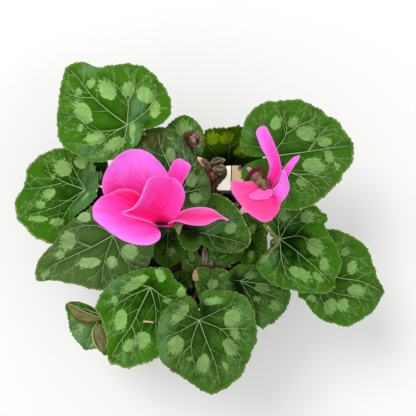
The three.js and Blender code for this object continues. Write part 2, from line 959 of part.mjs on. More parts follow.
function alignedTo(direction, at) {
  const turn = new THREE.Quaternion().setFromUnitVectors(vec(0, 0, 1), direction);
  return new THREE.Matrix4().compose(at, turn, vec(1, 1, 1));
}

function makeCorolla(bloom) {
  const { facing, first, second, calyx, mouth } = mouthFrame(bloom);
  const profile = [
    [0, 0],
    [TUBE_HEEL, 0],
    [TUBE_RADIUS, TUBE_HEEL],
    [TUBE_RADIUS, TUBE_LENGTH],
    [TUBE_RADIUS - TUBE_WALL, TUBE_LENGTH],
    [TUBE_RADIUS - TUBE_WALL, TUBE_HEEL + TUBE_WALL / 2],
    [0, 1.5 * TUBE_WALL],
  ].map(([r, z]) => new THREE.Vector2(r, z));
  const tube = new THREE.LatheGeometry(profile, TUBE_SIDES)
    .rotateX(Math.PI / 2)
    .applyMatrix4(alignedTo(facing, calyx.clone().addScaledVector(facing, FIT_GAP)));
  const petals = bloom.petals.map((petal) => {
    const angle = petal.seat * DEG;
    const seat = mouth
      .clone()
      .addScaledVector(first, (TUBE_RADIUS - TUBE_WALL / 2) * Math.cos(angle))
      .addScaledVector(second, (TUBE_RADIUS - TUBE_WALL / 2) * Math.sin(angle))
      .addScaledVector(facing, -SEAT_SINK);
    const lip = seat.clone().addScaledVector(facing, SEAT_SINK + SEAT_LIP);
    const spine = [seat.toArray(), lip.toArray(), ...petal.spine];
    return petalSheet({ ...petal, spine });
  });
  return node(`${bloom.name}_petals`, toGeometry(joined([tube, ...petals])), PETAL_PINK);
}

function makeStalk(bloom) {
  const { facing, calyx } = mouthFrame(bloom);
  const foot = crownPoint(bloom.stalk.root[0], bloom.stalk.root[1], STALK_FOOT);
  const points = [
    foot,
    foot.clone().add(vec(0, 0, HOLE_DEPTH + UPRIGHT)),
    ...bloom.stalk.via.map((p) => vec(...p)),
    calyx.clone().addScaledVector(facing, -CALYX_HEEL),
  ];
  const curve = new THREE.CatmullRomCurve3(points, false, "centripetal");
  const stalk = stem(curve, STALK_RADIUS, STALK_SIDES, STALK_STEPS);
  const cup = new THREE.CylinderGeometry(CALYX_MOUTH, CALYX_HEEL, CALYX_HEIGHT, 2 * SEPALS)
    .rotateX(Math.PI / 2)
    .translate(0, 0, -CALYX_HEIGHT / 2);
  const starPoints = [];
  for (let i = 0; i < 2 * SEPALS; i += 1) {
    const radius = i % 2 ? SEPAL_NOTCH : SEPAL_REACH;
    const angle = (Math.PI * i) / SEPALS;
    starPoints.push(new THREE.Vector2(radius * Math.cos(angle), radius * Math.sin(angle)));
  }
  const star = new THREE.ExtrudeGeometry(new THREE.Shape(starPoints), {
    depth: SEPAL_THICKNESS,
    bevelEnabled: false,
  }).translate(0, 0, -SEPAL_THICKNESS);
  const place = alignedTo(facing, calyx);
  const whole = joined([stalk, cup.applyMatrix4(place), star.applyMatrix4(place)]);
  return node(`${bloom.name}_stalk`, toGeometry(whole), STALK_RED);
}

// Buds: a pointed head on an arched stalk
const BUDS = [
  {
    name: "bud_back",
    root: [9, 90],
    via: [[-1, 20, 114], [-7, 50, 134], [-10.5, 74, 143], [-15.5, 87, 152], [-11, 90, 157]],
    head: [-6.4, 82, 158],
    toward: [0.2, -0.6, -0.5],
    length: 12,
    radius: 4.6,
  },
  {
    name: "bud_slender",
    root: [13, 82],
    via: [[4, 22, 114], [5, 42, 131], [5, 52, 148]],
    head: [-0.5, 65, 159],
    toward: [-0.7, 0.6, 0.3],
    length: 14,
    radius: 2.5,
  },
  {
    name: "bud_olive",
    root: [13.5, 62],
    via: [[8, 22, 110], [12, 42, 126], [12, 56, 146]],
    head: [12, 67, 150],
    toward: [0.9, 0.2, -0.1],
    length: 12,
    radius: 3.8,
  },
  {
    name: "bud_nodding",
    root: [9, 48],
    via: [[12, 18, 112], [15.5, 38, 131], [16, 50, 146], [14, 57, 154]],
    head: [9.5, 59.5, 157],
    toward: [-0.9, 0.1, -0.2],
    length: 10,
    radius: 3.6,
  },
  {
    name: "bud_red",
    root: [13.5, 105],
    via: [[1, 20, 108], [8, 38, 122], [8.5, 48, 133]],
    head: [8, 52.5, 142],
    toward: [0, 0.4, 1],
    length: 9,
    radius: 2.3,
  },
];

function makeBud(bud) {
  const foot = crownPoint(bud.root[0], bud.root[1], STALK_FOOT);
  const toward = vec(...bud.toward).normalize();
  const heel = vec(...bud.head).addScaledVector(toward, -bud.length * BUD_HEEL);
  const points = [
    foot,
    foot.clone().add(vec(0, 0, HOLE_DEPTH + UPRIGHT)),
    ...bud.via.map((p) => vec(...p)),
    heel,
  ];
  const curve = new THREE.CatmullRomCurve3(points, false, "centripetal");
  const stalk = stem(curve, BUD_STALK_RADIUS, PETIOLE_SIDES, BUD_STALK_STEPS);
  const profile = [];
  for (let i = 0; i <= BUD_RINGS; i += 1) {
    const f = i / BUD_RINGS;
    const swell = Math.sin(Math.PI * f ** 0.8);
    const radius = i === 0 || i === BUD_RINGS ? 0 : bud.radius * swell ** 0.8;
    profile.push(new THREE.Vector2(radius, bud.length * (f - 0.5)));
  }
  const head = new THREE.LatheGeometry(profile, BUD_SIDES)
    .rotateX(Math.PI / 2)
    .applyMatrix4(alignedTo(toward, vec(...bud.head)));
  return node(bud.name, toGeometry(joined([stalk, head])), BUD_OLIVE);
}

// Plant label: a flexible card on a stake, pushed into the mix and bent back under the leaves
const LABEL = {
  spine: [
    [34, 21, 66],
    [34.3, 22, 82],
    [34.5, 25, 100],
    [32.5, 31, 114],
    [28, 46, 129],
    [21.5, 64, 142],
  ],
  widths: [[1.2, 1.2], [3.5, 3.5], [3.5, 3.5], [7, 7], [17, 15], [7, 7]],
  across: [-0.94, -0.34, 0],
};

function labelSheet(grow) {
  const spine = new THREE.CatmullRomCurve3(LABEL.spine.map((p) => vec(...p)));
  const sideways = vec(...LABEL.across).normalize();
  const spans = LABEL.widths.length - 1;
  const points = [];
  for (let i = 0; i <= LABEL_ROWS; i += 1) {
    const t = i / LABEL_ROWS;
    const knot = Math.min(Math.floor(t * spans), spans - 1);
    const f = t * spans - knot;
    const start = LABEL.widths[knot];
    const finish = LABEL.widths[knot + 1];
    for (const s of [-1, 0, 1]) {
      const column = s < 0 ? 0 : 1;
      const half = start[column] + (finish[column] - start[column]) * f + grow;
      points.push(spine.getPoint(t).addScaledVector(sideways, s * half));
    }
  }
  return gridSheet(points, LABEL_ROWS, 2, LABEL_THICKNESS + 2 * grow);
}

const stalkRoots = [
  ...LEAVES.map((leaf) => ({ root: leaf.root, radius: PETIOLE_RADIUS })),
  ...BLOOMS.map((bloom) => ({ root: bloom.stalk.root, radius: STALK_RADIUS })),
  ...BUDS.map((bud) => ({ root: bud.root, radius: BUD_STALK_RADIUS })),
];

const group = new THREE.Group();
group.name = "potted_cyclamen";
group.add(makePot());
group.add(makeSoil(toSolid(labelSheet(FIT_GAP))));
group.add(makeCorm(stalkRoots));
LEAVES.forEach((leaf) => group.add(makeLeaf(leaf)));
BLOOMS.forEach((bloom) => group.add(makeCorolla(bloom), makeStalk(bloom)));
BUDS.forEach((bud) => group.add(makeBud(bud)));
group.add(node("plant_label", labelSheet(0), LABEL_PLASTIC));

export default group;
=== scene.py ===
# A potted cyclamen seen from above: marbled leaves, two pink blooms and buds over a nursery pot.
# The tables are in millimetres and degrees, as the plant was measured; Blender works in metres.

import math
import random

import bpy
import numpy as np
from mathutils import Euler, Matrix, Vector
from mathutils.kdtree import KDTree


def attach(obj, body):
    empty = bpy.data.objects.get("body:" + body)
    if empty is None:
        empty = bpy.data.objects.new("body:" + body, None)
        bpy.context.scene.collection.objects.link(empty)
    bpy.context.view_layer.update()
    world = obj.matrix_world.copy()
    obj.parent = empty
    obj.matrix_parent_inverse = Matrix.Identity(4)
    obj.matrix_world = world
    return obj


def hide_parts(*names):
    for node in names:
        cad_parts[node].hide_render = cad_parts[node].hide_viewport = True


MM = 0.001

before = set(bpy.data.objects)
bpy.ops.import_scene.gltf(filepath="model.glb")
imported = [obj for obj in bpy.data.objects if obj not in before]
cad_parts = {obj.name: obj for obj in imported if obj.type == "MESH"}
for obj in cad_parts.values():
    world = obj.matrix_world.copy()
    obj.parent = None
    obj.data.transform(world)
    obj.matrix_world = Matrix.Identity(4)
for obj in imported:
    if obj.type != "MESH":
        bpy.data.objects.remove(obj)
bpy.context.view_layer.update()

# The camera hangs straight above the plant
CAMERA_PLACE = (2.5, 31.7, 720.0)
CAMERA_LENS = 65.6
CAMERA_SENSOR = 36

# Leaves
BLADE_THICKNESS = 0.7
FLAP_THICKNESS = 0.5
PETIOLE_RADIUS = 1.35
RADII_STEP = 30
SINUS_EDGE = 0.11
SINUS_CROWDING = 1.2
POINT_SPREAD = 22
POINT_SHARPNESS = 1.5
FOLD_ROUNDING = 0.08
LAP_RISE = 2.6
LAP_START = 150
LAP_SPAN = 40
GIRTH_SHARE = 0.8
TOOTH_PITCH = 2.6
TOOTH_LEAST = 0.1
TOOTH_MOST = 1.6
ROW_PITCH = 1.7
ROW_CROWDING = 0.85
FEWEST_ROWS = 14
EDGE_EASE = 12
MARGIN_WAVE = 0.004
MARGIN_WAVES = ((23, 1.0), (37, 0.8), (53, 0.6))
RUFFLE_COUNT = 11
QUILT_WIDTH = 3.4
FINE_QUILT_WIDTH = 1.8
HALO_WIDTH = 1.1
TEXTURE_SIZE = 100

# Veins: lengths and widths are shares of the leaf's or of the parent vein's
VEIN_STEP = 2.2
VEIN_RISE = 0.14
VEIN_SINK = 0.1
UNDER_RISE = 4
VEIN_PALENESS = (1, 0.95, 0.85, 0.8)
VEIN_END = 0.96
VEIN_PULL = 0.045
VEIN_WANDER = 3.5
VEIN_SWAY = (0.1, 0.7)
RIB_REACH = 0.93
SIDE_RIB_WIDTH = 0.85
FIRST_BRANCH = (0.28, 0.36)
LAST_BRANCH = 0.93
BRANCH_GAP = (0.12, 0.19)
BRANCH_ANGLE = (34, 52)
BRANCH_WIDTH = 0.55
BRANCH_LENGTH = 0.16
BRANCH_SPARE = 0.1
FORK_ANGLE = (18, 32)
FORK_LEAN = 8
FORK_WIDTH = 0.72
FORK_LENGTH = (0.55, 0.9)

# Crown and stalks
CROWN = (1, -8)
CORM_TOP = 91
CORM_RADIUS = 21
CORM_DEPTH = 13
CORM_FLATNESS = 0.55
STUB_SINK = 4
HOLE_DEPTH = 6
UPRIGHT = 4
STALK_FOOT = CORM_TOP - HOLE_DEPTH + 0.3
ARCH_REACH = 0.38
ARCH_RISE = 0.4
JOINT_REACH = 0.13
JOINT_DROP = 9
FLOWER_STALK_RADIUS = 1.7
BUD_STALK_RADIUS = 1.4

# Blooms
TUBE_RADIUS = 5.2
TUBE_LENGTH = 7
TUBE_WALL = 1
TUBE_LIP = 0.3
SEAT_SINK = 1.2
SEAT_LIP = 1.4
SEAT_HALF = 2
PETAL_THICKNESS = 0.6
PETAL_WAVES = 9
CREASE_WIDTH = 0.16
RIM_SHARPNESS = 14
TIP_SHARPNESS = 26
SEPAL_COUNT = 5
SEPAL_START = 1.2
SEPAL_ARCH = 0.35
SEPAL_THICKNESS = 0.4
CALYX_CUP = [(0, -5.6), (1.4, -5.3), (3, -3.8), (4, -1.8), (4.4, 0.6), (0, 0.6)]
BUD_HEEL = 0.38
BUD_SEPAL_REACH = 0.62

# Pot and potting mix
POT_RADIUS = 52
POT_HEIGHT = 92
POT_FOOT = 37
POT_LIP = 2.2
POT_WALL = 1.4
POT_SLOPE = (POT_RADIUS - POT_LIP - POT_FOOT) / POT_HEIGHT
DRAIN_COUNT = 6
DRAIN_RADIUS = 3.5
DRAIN_RING = 25
SOIL_TOP = 82
SOIL_FLOOR = 2.1
SOIL_GAP = 1.7
SOIL_LUMPS = 1.3
SCATTER_RADIUS = 46

# Plant label
CARD_THICKNESS = 0.6
CARD_ROUNDING = 0.12


def deselect():
    bpy.ops.object.select_all(action="DESELECT")


def only(piece):
    deselect()
    piece.select_set(True)
    bpy.context.view_layer.objects.active = piece


def added(name):
    piece = bpy.context.active_object
    piece.name = name
    piece.data.name = name
    return piece


def from_points(name, points, edges, faces):
    mesh = bpy.data.meshes.new(name)
    mesh.from_pydata(points, edges, faces)
    mesh.update()
    piece = bpy.data.objects.new(name, mesh)
    bpy.context.collection.objects.link(piece)
    return piece


def points_of(piece):
    place = np.empty(len(piece.data.vertices) * 3)
    piece.data.vertices.foreach_get("co", place)
    return place.reshape(-1, 3)


def set_points(piece, places):
    piece.data.vertices.foreach_set("co", np.ascontiguousarray(places, dtype=np.float32).ravel())
    piece.data.update()


def set_values(piece, **values):
    """Numbers on each vertex, which the materials read by name. A single number holds for all."""
    for name, numbers in values.items():
        numbers = np.broadcast_to(numbers, len(piece.data.vertices))
        layer = piece.data.attributes.get(name) or piece.data.attributes.new(name, "FLOAT", "POINT")
        layer.data.foreach_set("value", np.ascontiguousarray(numbers, dtype=np.float32))


def in_edit(piece, work):
    only(piece)
    bpy.ops.object.mode_set(mode="EDIT")
    bpy.ops.mesh.select_all(action="SELECT")
    work()
    bpy.ops.object.mode_set(mode="OBJECT")


def weld(piece, distance, outwards=False):
    def work():
        bpy.ops.mesh.remove_doubles(threshold=distance)
        if outwards:
            bpy.ops.mesh.normals_make_consistent(inside=False)

    in_edit(piece, work)


def finish_with(piece, kind, **settings):
    only(piece)
    modifier = piece.modifiers.new(kind.title(), kind)
    for key, value in settings.items():
        setattr(modifier, key, value)
    bpy.ops.object.modifier_apply(modifier=modifier.name)


def thicken(piece, thickness, **settings):
    """Gives a sheet its thickness, half to each side."""
    finish_with(piece, "SOLIDIFY", thickness=thickness * MM, offset=0, **settings)
    smooth(piece, 60)


def joined(name, parts):
    deselect()
    for part in parts:
        part.select_set(True)
    bpy.context.view_layer.objects.active = parts[0]
    bpy.ops.object.join()
    return added(name)


def smooth(piece, angle):
    only(piece)
    bpy.ops.object.shade_smooth_by_angle(angle=math.radians(angle))


def paint(piece, *materials):
    for material in materials:
        piece.data.materials.append(material)


def grid(name, columns, rows):
    """A flat grid: s runs across it from -1 to 1 and t along it from 0 to 1."""
    deselect()
    bpy.ops.mesh.primitive_grid_add(x_subdivisions=columns, y_subdivisions=rows, size=2)
    piece = added(name)
    flat = points_of(piece)
    return piece, flat[:, 0], (flat[:, 1] + 1) / 2


def step_of(share, count):
    """Which of a grid's columns or rows each point is in."""
    return np.rint(share * count).astype(int)


def set_uv(piece, us, vs):
    layer = piece.data.uv_layers.active or piece.data.uv_layers.new(name="UVMap")
    corners = np.empty(len(piece.data.loops), dtype=np.int32)
    piece.data.loops.foreach_get("vertex_index", corners)
    pairs = np.stack([us[corners], vs[corners]], axis=1).astype(np.float32)
    layer.data.foreach_set("uv", pairs.ravel())


def give(piece, body_slot, *nodes):
    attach(piece, "root")
    if nodes:
        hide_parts(*nodes)


# Curves


def centripetal(points, parameters):
    """A smooth curve through the points, read at parameters from 0 to 1."""
    knots = np.array(points, float)
    knots = np.stack([2 * knots[0] - knots[1], *knots, 2 * knots[-1] - knots[-2]])
    last = len(knots) - 3
    found = []
    for parameter in parameters:
        place = parameter * last
        i = min(int(place), last - 1)
        w = place - i
        p0, p1, p2, p3 = knots[i : i + 4]
        pairs = ((p0, p1), (p1, p2), (p2, p3))
        d0, d1, d2 = (max(np.linalg.norm(b - a), 1e-6) ** 0.5 for a, b in pairs)
        start = ((p1 - p0) / d0 - (p2 - p0) / (d0 + d1) + (p2 - p1) / d1) * d1
        finish = ((p2 - p1) / d1 - (p3 - p1) / (d1 + d2) + (p3 - p2) / d2) * d1
        square = 3 * (p2 - p1) - 2 * start - finish
        cube = 2 * (p1 - p2) + start + finish
        found.append(p1 + start * w + square * w**2 + cube * w**3)
    return np.array(found)


def even_curve(points, count):
    """The same curve at equal steps along its length."""
    fine = centripetal(points, np.linspace(0, 1, 24 * len(points)))
    steps = np.linalg.norm(np.diff(fine, axis=0), axis=1)
    along = np.concatenate([[0], np.cumsum(steps)])
    wanted = np.linspace(0, along[-1], count)
    return np.stack([np.interp(wanted, along, fine[:, k]) for k in range(3)], axis=1)


def stem(name, points, skin, radius, taper, count, sides=3, swell=0.0):
    """A round stem along a curve, swollen at the foot, with the share of the way up on each vertex."""
    middle = even_curve(points, count)
    deselect()
    bpy.ops.curve.primitive_bezier_curve_add()
    curve = bpy.context.active_object
    curve.data.splines.clear()
    spline = curve.data.splines.new("POLY")
    spline.points.add(count - 1)
    for i, place in enumerate(middle):
        f = i / (count - 1)
        spline.points[i].co = (*(place * MM), 1)
        spline.points[i].radius = (1 + (taper - 1) * f) * (1 + swell * max(0.0, 1 - f * 8) ** 2)
    curve.data.dimensions = "3D"
    curve.data.bevel_depth = radius * MM
    curve.data.bevel_resolution = sides
    curve.data.use_fill_caps = True
    only(curve)
    bpy.ops.object.convert(target="MESH")
    piece = added(name)
    near = points_of(piece)[:, None, :] - middle[None, :, :] * MM
    nearest = np.argmin((near**2).sum(axis=2), axis=1)
    set_values(piece, along=nearest / (count - 1))
    only(piece)
    bpy.ops.object.shade_smooth()
    paint(piece, skin)
    return piece


def lathe(name, profile, steps, place=None):
    """A profile of radius and height turned round the Z axis by the spin tool, then set in place."""
    corners = [(r * MM, 0, z * MM) for r, z in profile]
    piece = from_points(name, corners, [(i, i + 1) for i in range(len(profile) - 1)], [])

    def spin():
        bpy.ops.mesh.spin(steps=steps, angle=2 * math.pi, center=(0, 0, 0), axis=(0, 0, 1))

    in_edit(piece, spin)
    weld(piece, 1e-6, outwards=True)
    if place is not None:
        set_points(piece, points_of(piece) @ place[0].T + place[1] * MM)
    smooth(piece, 40)
    return piece


def unit(direction):
    direction = np.array(direction, float)
    return direction / np.linalg.norm(direction)


def toward(direction, at):
    """A turn that takes +Z to the direction, and the point to go to."""
    turn = Vector((0, 0, 1)).rotation_difference(Vector(direction)).to_matrix()
    return np.array(turn), np.array(at, float)


def crown_point(root, z):
    ring, bearing = root
    turn = math.radians(bearing)
    return np.array([CROWN[0] + ring * math.cos(turn), CROWN[1] + ring * math.sin(turn), z])


def stalk_start(root):
    """The first two points of a petiole or stalk: deep in the crown, and upright above it."""
    foot = crown_point(root, STALK_FOOT)
    return [foot, foot + [0, 0, HOLE_DEPTH + UPRIGHT]]


def sheet(name, left, right, tip, columns, rows, hollow, spread=None):
    """A sheet between a left and a right edge curve, closed by a tip curve, with a hollow middle."""
    piece, s, t = grid(name, columns, rows)
    steps = np.linspace(0, 1, rows + 1)
    a_side = centripetal(left, steps)
    b_side = centripetal(right, steps)
    a_end, b_end = np.array(left[-1], float), np.array(right[-1], float)
    ahead = np.gradient((a_side + b_side) / 2, axis=0)
    face = np.cross(b_side - a_side, ahead)
    face /= np.maximum(np.linalg.norm(face, axis=1, keepdims=True), 1e-9)
    row = step_of(t, rows)
    across = ((s + 1) / 2)[:, None]
    way = np.linspace(0, 1, columns + 1)
    ends = centripetal([a_end, *tip, b_end], way)
    rounding = ends - (a_end + (b_end - a_end) * way[:, None])
    column = step_of((s + 1) / 2, columns)
    place = a_side[row] * (1 - across) + b_side[row] * across + rounding[column] * (t**3)[:, None]
    lift = -hollow * (1 - s**2) * np.sin(math.pi * np.clip(t * 0.85 + 0.05, 0, 1))
    if spread is not None:
        lift = lift + spread(s, t)
    set_points(piece, (place + face[row] * lift[:, None]) * MM)
    set_uv(piece, s / 2 + 0.5, t)
    return piece, s, t


# Leaf form


def catmull(a, b, c, d, f):
    slope = (c - a) / 2
    slope_end = (d - b) / 2
    cubic = 2 * (b - c) + slope + slope_end
    square = 3 * (c - b) - 2 * slope - slope_end
    return ((cubic * f + square) * f + slope) * f + b


def edge_radius(leaf, bearing):
    """How far the margin is from the petiole joint, at each bearing, before its dents and points."""
    turn = np.abs(bearing)
    left = np.array([leaf["tip"], *leaf["left"]], float)
    right = np.array([leaf["tip"], *leaf["right"]], float)
    is_left = bearing >= 0
    last = len(left) - 1
    i = np.minimum((turn // RADII_STEP).astype(int), last - 1)
    f = turn / RADII_STEP - i

    def pick(k):
        return np.where(is_left, left[np.minimum(k, last)], right[np.minimum(k, last)])

    before = np.where(i == 0, np.where(is_left, right[1], left[1]), pick(np.maximum(i - 1, 0)))
    point = leaf["point"] * np.maximum(0, 1 - turn / POINT_SPREAD) ** POINT_SHARPNESS
    radius = point + catmull(before, pick(i), pick(i + 1), pick(i + 2), f)
    lobe = last * RADII_STEP
    end = np.where(is_left, leaf["end_left"] or leaf["end"], leaf["end"])
    fall = np.clip((turn - lobe) / (end - lobe), 0, 1)
    low = SINUS_EDGE * leaf["tip"]
    rounded = low + (pick(np.full_like(i, last)) - low) * np.sqrt(1 - fall**2)
    return np.where(turn >= lobe, rounded, radius)


def margin(leaf, bearing):
    """The finished margin: the measured dents and points, and a gentle uneven wave, over the plain form."""
    bearing = np.asarray(bearing, float)
    radius = edge_radius(leaf, bearing)
    if leaf["edge"]:
        places, changes = zip(*leaf["edge"])
        places = [places[0] - EDGE_EASE, *places, places[-1] + EDGE_EASE]
        radius = radius + np.interp(bearing, places, [0, *changes, 0])
    turn = np.radians(bearing)
    phase = leaf["seed"]
    wave = sum(size * np.sin(count * turn + k * phase) for k, (count, size) in enumerate(MARGIN_WAVES, 1))
    return radius + MARGIN_WAVE * leaf["tip"] * wave * np.clip(radius / 20, 0, 1)


def bent(leaf, u, v):
    """Flat points of the blade, bent into its cup, fold, droop and waves."""
    tip = leaf["tip"]
    reach = np.hypot(u, v) / tip
    bearing = np.arctan2(v, u)
    height, count, phase = leaf["wave"]
    z = leaf["cup"] * reach**2
    z = z + leaf["fold"] * (np.hypot(v / tip, FOLD_ROUNDING) - FOLD_ROUNDING)
    z -= leaf["droop"] * np.maximum(0, u / tip) ** 2
    z += height * reach**3 * np.sin(count * bearing + math.radians(phase))
    ruffle = leaf["ruffle"] * reach**6 * (1 + 0.4 * np.sin(3 * bearing))
    z += ruffle * np.sin(RUFFLE_COUNT * bearing + 2.1 * phase)
    return np.stack([u, v, z], axis=-1)


def placement(leaf):
    turn = Matrix.Rotation(math.radians(leaf["heading"]), 3, "Z")
    dip = Matrix.Rotation(math.radians(leaf["dip"]), 3, "Y")
    roll = Matrix.Rotation(math.radians(leaf["roll"]), 3, "X")
    return np.array(turn @ dip @ roll)


def blade_points(leaf, u, v, lift):
    """Points of the blade in the plant's frame, in metres, lifted off its middle by some millimetres."""
    flat = bent(leaf, u, v)
    if np.any(lift):
        nudge = 0.2
        along_u = bent(leaf, u + nudge, v) - bent(leaf, u - nudge, v)
        along_v = bent(leaf, u, v + nudge) - bent(leaf, u, v - nudge)
        normal = np.cross(along_u, along_v)
        normal /= np.linalg.norm(normal, axis=-1, keepdims=True)
        flat = flat + normal * np.reshape(lift, (-1, 1))
    return (flat @ placement(leaf).T + np.array(leaf["at"])) * MM


# Veins: the main ones run out from the petiole joint, and finer ones branch from them to the margin


def grow_vein(leaf, dice, start, heading, width, length, forks, veins):
    """One vein in small steps, bending outwards as it goes, with a fork at its end."""
    place = np.array(start, float)
    path = [place]
    gone = 0.0
    wander = dice.uniform(-VEIN_WANDER, VEIN_WANDER)
    inside = True
    while gone < length and inside:
        outward = math.degrees(math.atan2(place[1], place[0]))
        off = (outward - heading + 180) % 360 - 180
        heading += off * VEIN_PULL + wander * dice.uniform(*VEIN_SWAY)
        turn = math.radians(heading)
        place = place + VEIN_STEP * np.array([math.cos(turn), math.sin(turn)])
        gone += VEIN_STEP
        bearing = math.degrees(math.atan2(place[1], place[0]))
        share = math.hypot(*place) / float(margin(leaf, bearing))
        inside = share < VEIN_END and abs(bearing) < leaf["end"] - 3
        if inside:
            path.append(place)
    if len(path) > 1:
        veins.append((np.array(path), width, width * 0.6, 2 if forks else 3))
    if inside and forks:
        spread = dice.uniform(*FORK_ANGLE)
        lean = dice.uniform(-FORK_LEAN, FORK_LEAN)
        for side in (1, -1):
            part = length * dice.uniform(*FORK_LENGTH)
            branch = heading + side * spread + lean
            grow_vein(leaf, dice, path[-1], branch, width * FORK_WIDTH, part, forks - 1, veins)


def main_veins(leaf):
    """The ribs listed for a leaf, or evenly spread ones where none are listed."""
    if leaf["ribs"]:
        return [np.array(rib, float) for rib in leaf["ribs"]]
    ribs = []
    for bearing in leaf["veins"]:
        turn = math.radians(bearing)
        reach = RIB_REACH * float(margin(leaf, bearing))
        bow = math.radians(bearing * RIB_REACH)
        middle = (0.5 * reach * math.cos(bow), 0.5 * reach * math.sin(bow))
        ribs.append(np.array([(0, 0), middle, (reach * math.cos(turn), reach * math.sin(turn))], float))
    return ribs


def leaf_veins(leaf):
    """Every vein of a leaf: its path, its half widths at the two ends, and its level."""
    dice = random.Random(leaf["seed"])
    veins = []
    for order, rib in enumerate(main_veins(leaf)):
        length = np.linalg.norm(np.diff(rib, axis=0), axis=1).sum()
        last = max(4, int(length / VEIN_STEP)) - 1
        path = even_curve([(*point, 0) for point in rib], last + 1)[:, :2]
        width = leaf["vein"] * (1.0 if order == 0 else SIDE_RIB_WIDTH)
        veins.append((path, width, width * 0.5, min(order, 1)))
        side = 1 if dice.random() < 0.5 else -1
        place = dice.uniform(*FIRST_BRANCH)
        while place < LAST_BRANCH:
            i = int(place * last)
            ahead = path[min(i + 1, last)] - path[max(i - 1, 0)]
            heading = math.degrees(math.atan2(ahead[1], ahead[0]))
            room = leaf["tip"] * (BRANCH_LENGTH + BRANCH_SPARE * dice.random())
            angle = heading + side * dice.uniform(*BRANCH_ANGLE)
            forks = 1 if dice.random() < 0.7 else 2
            grow_vein(leaf, dice, path[i], angle, width * BRANCH_WIDTH, room, forks, veins)
            side = -side
            place += dice.uniform(*BRANCH_GAP)
    return veins


def vein_mesh(leaf, veins, name, side):
    """Slender ridges on one face of the blade: high and pale along the middle, level at the sides."""
    corners, flats, strength, faces = [], [], [], []
    first = 0
    for path, start, finish, level in veins:
        if side < 0 and level > 1:
            continue
        count = len(path)
        ahead = np.gradient(path, axis=0)
        ahead /= np.linalg.norm(ahead, axis=1, keepdims=True)
        across = np.stack([-ahead[:, 1], ahead[:, 0]], axis=1)
        share = np.linspace(0, 1, count)
        half = start + (finish - start) * share
        skin = np.full(count, side * (BLADE_THICKNESS / 2 - VEIN_SINK))
        crest = side * (BLADE_THICKNESS / 2 + VEIN_RISE * (1 if side > 0 else UNDER_RISE) * half)
        rows = [path + across * (offset * half)[:, None] for offset in (-1, 0, 1)]
        lifts = (skin, crest, skin)
        lifted = [blade_points(leaf, row[:, 0], row[:, 1], lift) for row, lift in zip(rows, lifts)]
        corners.append(np.stack(lifted, axis=1).reshape(-1, 3))
        flats.append(np.stack(rows, axis=1).reshape(-1, 2))
        fade = VEIN_PALENESS[level] * (1 - 0.15 * share)
        strength.append((fade[:, None] * np.array([0.0, 1.0, 0.0])).ravel())
        order = (0, 1, 2) if side > 0 else (2, 1, 0)
        for a in range(first, first + 3 * (count - 1), 3):
            for p, q in zip(order, order[1:] + order[:1]):
                faces.append((a + p, a + 3 + p, a + 3 + q, a + q))
        faces.append(tuple(first + k for k in reversed(order)))
        faces.append(tuple(first + 3 * (count - 1) + k for k in order))
        first += 3 * count
    piece = from_points(name, np.concatenate(corners).tolist(), [], faces)
    set_values(piece, rib=np.concatenate(strength), puff=0, halo=1)
    mark_leaf(piece, leaf, *np.concatenate(flats).T)
    weld(piece, 1e-9, outwards=True)
    only(piece)
    bpy.ops.object.shade_smooth()
    return piece


def vein_distance(veins, u, v, deepest):
    """Millimetres from flat points to the nearest vein, of the given levels."""
    beads = []
    for path, _, _, level in veins:
        if level <= deepest:
            steps = np.linspace(0, len(path) - 1, 4 * len(path))
            places = np.arange(len(path))
            beads.append(np.stack([np.interp(steps, places, path[:, k]) for k in (0, 1)], axis=1))
    beads = np.concatenate(beads)
    tree = KDTree(len(beads))
    for order, (a, b) in enumerate(beads):
        tree.insert((a, b, 0), order)
    tree.balance()
    return np.array([tree.find((a, b, 0))[2] for a, b in zip(u, v)])


def spot_field(u, v, spot):
    """The spot's strength in its middle, half of it on its outline, and fading beyond."""
    cu, cv, long, wide, angle, strength = spot
    turn = math.radians(angle)
    du, dv = u - cu, v - cv
    a = (du * math.cos(turn) + dv * math.sin(turn)) / long
    b = (-du * math.sin(turn) + dv * math.cos(turn)) / wide
    return strength * np.exp(-0.69 * (a**2 + b**2))


def strongest(spots, u, v):
    return np.max([np.zeros(len(u)), *(spot_field(u, v, spot) for spot in spots)], axis=0)


def outer_side(spots, u, v):
    """How far out a point is from the middle of its strongest spot, in half widths of the spot."""
    best = np.zeros(len(u))
    outer = np.zeros(len(u))
    for spot in spots:
        cu, cv, long, wide = spot[:4]
        field = spot_field(u, v, spot)
        side = ((u - cu) * cu + (v - cv) * cv) / max(math.hypot(cu, cv), 1e-3) / min(long, wide)
        outer = np.where(field > best, side, outer)
        best = np.maximum(best, field)
    return np.clip(outer, -2, 2)


def mark_leaf(piece, leaf, u, v, bearing=None):
    """Values the leaf material reads: silver, olive, painted sheen, painted shade, place on the leaf, tints
    and tone.
    """
    distance = np.maximum(np.hypot(u, v), 1e-3)
    if bearing is None:
        bearing = np.degrees(np.arctan2(v, u))
    set_values(
        piece,
        silver=strongest(leaf["patches"], u, v),
        olive=strongest(leaf["olive"], u, v),
        outer=outer_side(leaf["patches"], u, v),
        sheen=strongest(leaf["sheen"], u, v),
        shade=strongest(leaf["shade"], u, v),
        reach=distance / margin(leaf, bearing),
        distance=distance,
        bearing=np.radians(bearing) + leaf["seed"],
    )
    set_values(piece, **{name: leaf[name] for name in ("tone_and_light", "grey", "yellow", "rim", "heart", "bright")})
    set_uv(piece, u / TEXTURE_SIZE + 0.5, v / TEXTURE_SIZE + 0.5)


